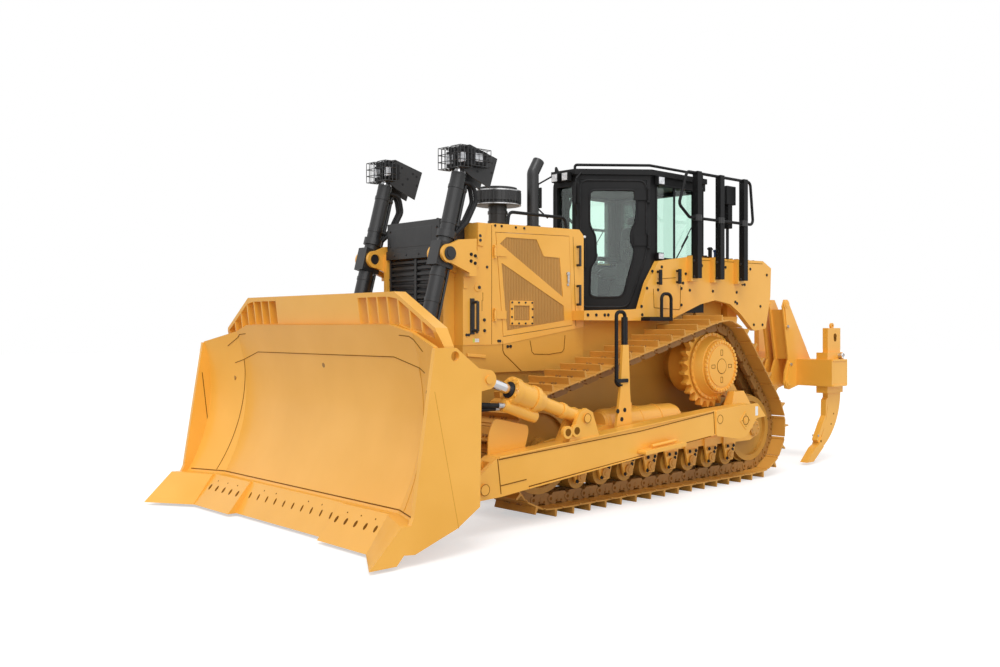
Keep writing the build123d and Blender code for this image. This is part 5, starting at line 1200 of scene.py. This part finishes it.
for side in SIDES:
    y = side * 0.7905
    for x, z in FENDER_BOLTS:
        add_rod(bolt_bm, (x, y - side * 0.002, z), (x, y + side * 0.006, z), 0.017, sides=12)
    add_line(seam_bm, [(-0.500, y, 2.150), (-0.512, y, 1.944)], 0.0035)
    add_line(seam_bm, [(-0.512, y, 1.944), (-0.940, y, 1.928), (-0.958, y, 1.945), (-0.965, y, 2.200)], 0.0035)
    add_line(seam_bm, [(-0.569, y, 2.260), (-0.880, y, 2.285)], 0.003)
    add_line(seam_bm, [(-1.100, y, 2.500), (-2.560, y, 2.515)], 0.003)
    for x, low, high in ((-0.569, 2.215, 2.340), (-0.900, 2.235, 2.360)):
        for z in (low, high):
            add_pin(step_bm, side, (x, z), (0.788, 0.835), 0.013, sides=12)
        add_rod(step_bm, (x, side * 0.835, low - 0.020), (x, side * 0.835, high + 0.020), 0.021, sides=14)
    for x in (-1.139, -1.561, -2.021):
        for z in (2.300, 2.480):
            add_bolt(plate_bm, (x + 0.0395, side * 0.880, z), (1, 0, 0), 0.026)
        add_rod(plate_bm, (x, side * 0.8925, 2.930), (x, side * 0.8925, 3.000), 0.052, sides=20)
        for z in (2.295, 2.400, 2.500):
            add_side_bolt(bolt_bm, side, (x - 0.048, z), 0.8915, 0.018)
    # tread pattern of the fender's top and of the step
    for i in range(12):
        x = -1.180 - 0.110 * i
        add_side_box(seam_bm, side, (x, x + 0.010), (0.730, 0.786), (2.5420, 2.5520 if x > -2.45 else 2.5480))
    for i in range(6):
        x = -0.640 + 0.060 * i
        add_side_box(step_bm, side, (x, x + 0.018), (0.800, 0.915), (1.837, 1.843))
piece(bolt_bm, "fender_bolts", "chassis", rubber)
piece(seam_bm, "fender_lines", "chassis", seam_paint)
piece(step_bm, "fender_handles", "chassis", rubber)
piece(plate_bm, "post_fittings", "chassis", charcoal, rounding=0.003)

# %% Tank caps, valves and lamps at the back
cap_bm, blue_bm, box_bm, lens_bm = bmesh.new(), bmesh.new(), bmesh.new(), bmesh.new()
for x, y, radius in ((-1.900, 0.380, 0.070), (-1.750, -0.420, 0.055)):
    add_rod(cap_bm, (x, y, 2.535), (x, y, 2.590), radius, sides=32)
    add_rod(cap_bm, (x, y, 2.588), (x, y, 2.604), radius * 0.72, sides=32)
add_rod(blue_bm, (-1.960, 0.560, 2.535), (-1.960, 0.560, 2.640), 0.052, sides=28)
add_rod(blue_bm, (-1.960, 0.560, 2.640), (-1.960, 0.560, 2.668), 0.060, sides=12)
for y, tall in ((0.640, 0.14), (0.500, 0.10), (-0.560, 0.12)):
    add_rod(cap_bm, (-1.700, y, 2.535), (-1.700, y, 2.540 + tall), 0.024, sides=14)
    add_rod(cap_bm, (-1.745, y, 2.520 + tall), (-1.655, y, 2.520 + tall), 0.012, sides=12)
for side in SIDES:
    add_box(box_bm, (-2.140, side * 0.600 - 0.070, 2.380), (-2.128, side * 0.600 + 0.070, 2.500))
    add_box(lens_bm, (-2.150, side * 0.600 - 0.055, 2.395), (-2.138, side * 0.600 + 0.055, 2.485))
    for z in (2.120, 2.300, 2.480):
        add_bolt(box_bm, (-2.130, side * 0.420, z), (-1, 0, 0), 0.026)
    for y, z in ((0.300, 2.470), (0.300, 2.130), (0.100, 2.470), (0.100, 2.130)):
        add_bolt(box_bm, (-2.700, side * y, z), (-1, 0, 0), 0.026)
piece(cap_bm, "tank_caps", "chassis", rubber, rounding=0.003)
blue, tree, shader = start_material("blue_cap")
two_tones(tree, shader, noise(tree, 30.0), (0.010, 0.060, 0.30), (0.016, 0.085, 0.38))
uneven_gloss(tree, shader, noise(tree, 60.0), 0.35, 0.5)
piece(blue_bm, "blue_filler_cap", "chassis", blue, rounding=0.003)
piece(box_bm, "rear_lamps_and_bolts", "chassis", rubber, rounding=0.002)
piece(lens_bm, "rear_lamp_lenses", "chassis", lens)

# %% Skirt lines, precleaner ring and exhaust
seam_bm, bolt_bm, ring_bm, black_bm = bmesh.new(), bmesh.new(), bmesh.new(), bmesh.new()
for side in SIDES:
    y = side * 0.6165
    add_line(seam_bm, [(1.505, y, 1.600), (1.500, y, 1.510), (1.480, y, 1.470), (1.440, y, 1.442), (1.265, y, 1.305)],
             0.0045)
    add_line(seam_bm, [(1.150, y, 1.600), (1.125, y, 1.490), (1.095, y, 1.466), (0.895, y, 1.459), (0.715, y, 1.478),
                       (0.685, y, 1.510),
                       (0.671, y, 1.650)], 0.0035)
    for x, z in ((1.440, 1.545), (1.403, 1.547)):
        add_rod(bolt_bm, (x, y - side * 0.002, z), (x, y + side * 0.006, z), 0.015, sides=14)
    for x in (1.230, 1.340, 1.520, 1.600):
        add_side_bolt(bolt_bm, side, (x, 2.700), 0.621, 0.020)
for low, high, radius in ((2.988, 2.998, 0.243), (3.128, 3.140, 0.243), (3.170, 3.178, 0.130)):
    add_rod(ring_bm, (1.045, 0, low), (1.045, 0, high), radius, sides=64)
for dx, dy in on_circle(36, 1.0):
    out = Vector((dx, dy, 0))
    add_rod(black_bm, Vector((1.045, 0, 3.010)) + out * 0.238, Vector((1.045, 0, 3.120)) + out * 0.238, 0.006, sides=6)
for z in (2.800, 2.900):
    add_rod(black_bm, (1.045, 0, z), (1.045, 0, z + 0.030), 0.104, sides=44)
piece(seam_bm, "skirt_lines", "chassis", seam_paint)
piece(bolt_bm, "skirt_bolts", "chassis", rubber)
piece(ring_bm, "precleaner_rings", "chassis", zinc)
piece(black_bm, "precleaner_ribs", "chassis", charcoal)

# %% [markdown]
# ## Ripper
# The beam's top and bottom plates stand past its walls, and each shank is locked by a pin with a bright head.
# The pins of the linkage are kept by small plates, each with a bolt. All of it rides on the ripper's own bodies.
# %% Flanges, pins and shank details
BEAM_LOW, BEAM_HIGH = 0.975, 1.315
lip_bm, pin_bm, dark_bm, ring_bm = bmesh.new(), bmesh.new(), bmesh.new(), bmesh.new()
for z0, z1 in ((BEAM_LOW - 0.003, BEAM_LOW + 0.020), (BEAM_HIGH - 0.020, BEAM_HIGH + 0.003)):
    for side in SIDES:
        add_side_box(lip_bm, side, (-3.790, -3.468), (0.900, 1.242), (z0, z1))
for y in (-1.067, 0.0, 1.067):
    for side in SIDES:
        add_rod(pin_bm, (-3.765, y + side * 0.080, 1.360), (-3.765, y + side * 0.140, 1.360), 0.034, sides=24)
        add_ring(ring_bm, (-3.765, y + side * 0.1405, 1.360), (0, 1, 0), 0.034, 0.008, sides=28)
        for x, z, radius, sides in ((-3.740, 1.615, 0.036, 24), (-3.740, 1.575, 0.030, 24), (-3.700, 0.610, 0.011, 12),
                                    (-3.640, 0.480, 0.011, 12)):
            add_rod(dark_bm, (x, y + side * 0.0375, z), (x, y + side * 0.0395, z), radius, sides=sides)
        add_rod(dark_bm, (-3.375, y + side * 0.052, 0.280), (-3.375, y + side * 0.0535, 0.280), 0.016, sides=14)
        add_rod(pin_bm, (-3.330, y + side * 0.0375, 0.352), (-3.330, y + side * 0.045, 0.352), 0.014, sides=14)
piece(lip_bm, "beam_flanges", "ripper_carrier", yellow, rounding=0.002)
piece(pin_bm, "shank_pins", "ripper_carrier", zinc, rounding=0.003)
piece(dark_bm, "shank_holes", "ripper_carrier", seam_paint)
piece(ring_bm, "shank_pin_rings", "ripper_carrier", chrome)

bm, pin_bm = bmesh.new(), bmesh.new()
for side in SIDES:
    for x, z in ((-3.195, 2.020), (-3.235, 1.010)):
        add_pin(bm, side, (x, z), (0.724, 0.734), 0.040, sides=28)
        add_ring(bm, (x, side * 0.7345, z), (0, 1, 0), 0.024, 0.004, sides=24)
    for x, z in ((-3.220, 1.740), (-3.295, 1.250)):
        add_side_bolt(pin_bm, side, (x, z), 0.7265, 0.034)
piece(bm, "pin_plates", "ripper_carrier", yellow, rounding=0.002)
piece(pin_bm, "pin_plate_bolts", "ripper_carrier", zinc)

# %% Hoses and valves behind the tank
pipe_bm, fit_bm = bmesh.new(), bmesh.new()
for side in SIDES:
    for y in (0.235, 0.300):
        places = [(-2.330, side * y, 2.020), (-2.300, side * y, 2.120), (-2.230, side * y, 2.150),
                  (-2.150, side * y, 2.080)]
        add_line(pipe_bm, places, 0.018)
        add_rod(fit_bm, (-2.335, side * y, 1.960), (-2.330, side * y, 2.030), 0.026, sides=6)
    add_side_box(fit_bm, side, (-2.360, -2.180), (0.575, 0.600), (1.300, 1.420))
    add_pin(fit_bm, side, (-2.290, 1.360), (0.600, 0.640), 0.034, sides=20)
piece(pipe_bm, "ripper_hoses", "chassis", rubber)
piece(fit_bm, "ripper_fittings", "chassis", rubber, rounding=0.003)

# %% [markdown]
# ## Floor, light and camera
# A studio shot of a machine uses a pale floor and very soft light from above.
# The sky is white where the lens sees it, and a little dimmer where it lights the paint.
# A wide sun gives the form its shading and a soft shadow.
# %% Floor
bm = bmesh.new()
bmesh.ops.create_grid(bm, x_segments=1, y_segments=1, size=60)
floor_mesh = bpy.data.meshes.new("studio_floor")
bm.to_mesh(floor_mesh)
bm.free()
floor = bpy.data.objects.new("studio_floor", floor_mesh)
bpy.context.scene.collection.objects.link(floor)
floor_paint, tree, shader = start_material("floor_paper", Base_Color=(0.62, 0.62, 0.62, 1), Roughness=0.95,
                                           Specular_IOR_Level=0.0)
glow = add_node(tree, "Emission", Color=(1, 1, 1, 1), Strength=0.52)
both = add_node(tree, "AddShader")
tree.links.new(shader.outputs["BSDF"], both.inputs[0])
tree.links.new(glow.outputs["Emission"], both.inputs[1])
seen = add_node(tree, "LightPath")
choose = add_node(tree, "MixShader")
tree.links.new(seen.outputs["Is Camera Ray"], choose.inputs["Fac"])
tree.links.new(shader.outputs["BSDF"], choose.inputs[1])
tree.links.new(both.outputs["Shader"], choose.inputs[2])
tree.links.new(choose.outputs["Shader"], tree.nodes["Material Output"].inputs["Surface"])
floor_mesh.materials.append(floor_paint)

# %% Sky and sun
world = bpy.data.worlds.new("studio_sky")
bpy.context.scene.world = world
world.use_nodes = True
tree = world.node_tree
sky = tree.nodes["Background"]
sky.inputs["Color"].default_value = (1, 1, 1, 1)
path = add_node(tree, "LightPath")
direct = add_node(tree, "Math", operation="MAXIMUM")
clear = add_node(tree, "Math", operation="MAXIMUM")
level = add_node(tree, "MapRange", To_Min=0.62, To_Max=1.0)
tree.links.new(path.outputs["Is Camera Ray"], direct.inputs[0])
tree.links.new(path.outputs["Is Glossy Ray"], direct.inputs[1])
tree.links.new(direct.outputs["Value"], clear.inputs[0])
tree.links.new(path.outputs["Is Transmission Ray"], clear.inputs[1])
tree.links.new(clear.outputs["Value"], level.inputs["Value"])
tree.links.new(level.outputs["Result"], sky.inputs["Strength"])

for title, strength, angle, way in (("key_light", 1.30, 28, (-0.42, -0.45, -1.0)),
                                    ("fill_light", 0.85, 60, (-0.55, -1.0, -0.25))):
    lamp = bpy.data.lights.new(title, "SUN")
    lamp.energy, lamp.angle = strength, math.radians(angle)
    lit = bpy.data.objects.new(title, lamp)
    lit.rotation_mode = "QUATERNION"
    lit.rotation_quaternion = Vector(way).to_track_quat("-Z", "Y")
    bpy.context.scene.collection.objects.link(lit)

# %% Camera
lens_setup = bpy.data.cameras.new("studio_camera")
lens_setup.sensor_width, lens_setup.lens = 36.0, 35.73
lens_setup.shift_x, lens_setup.shift_y = -0.0876, -0.0061
camera = bpy.data.objects.new("studio_camera", lens_setup)
bpy.context.scene.collection.objects.link(camera)
camera.location = (7.700, 7.896, 1.733)
heading = math.radians(-135.301)
camera.rotation_mode = "QUATERNION"
camera.rotation_quaternion = Vector((math.cos(heading), math.sin(heading), -0.00035)).to_track_quat("-Z", "Y")
bpy.context.scene.camera = camera
bpy.context.scene.view_settings.view_transform = "Standard"
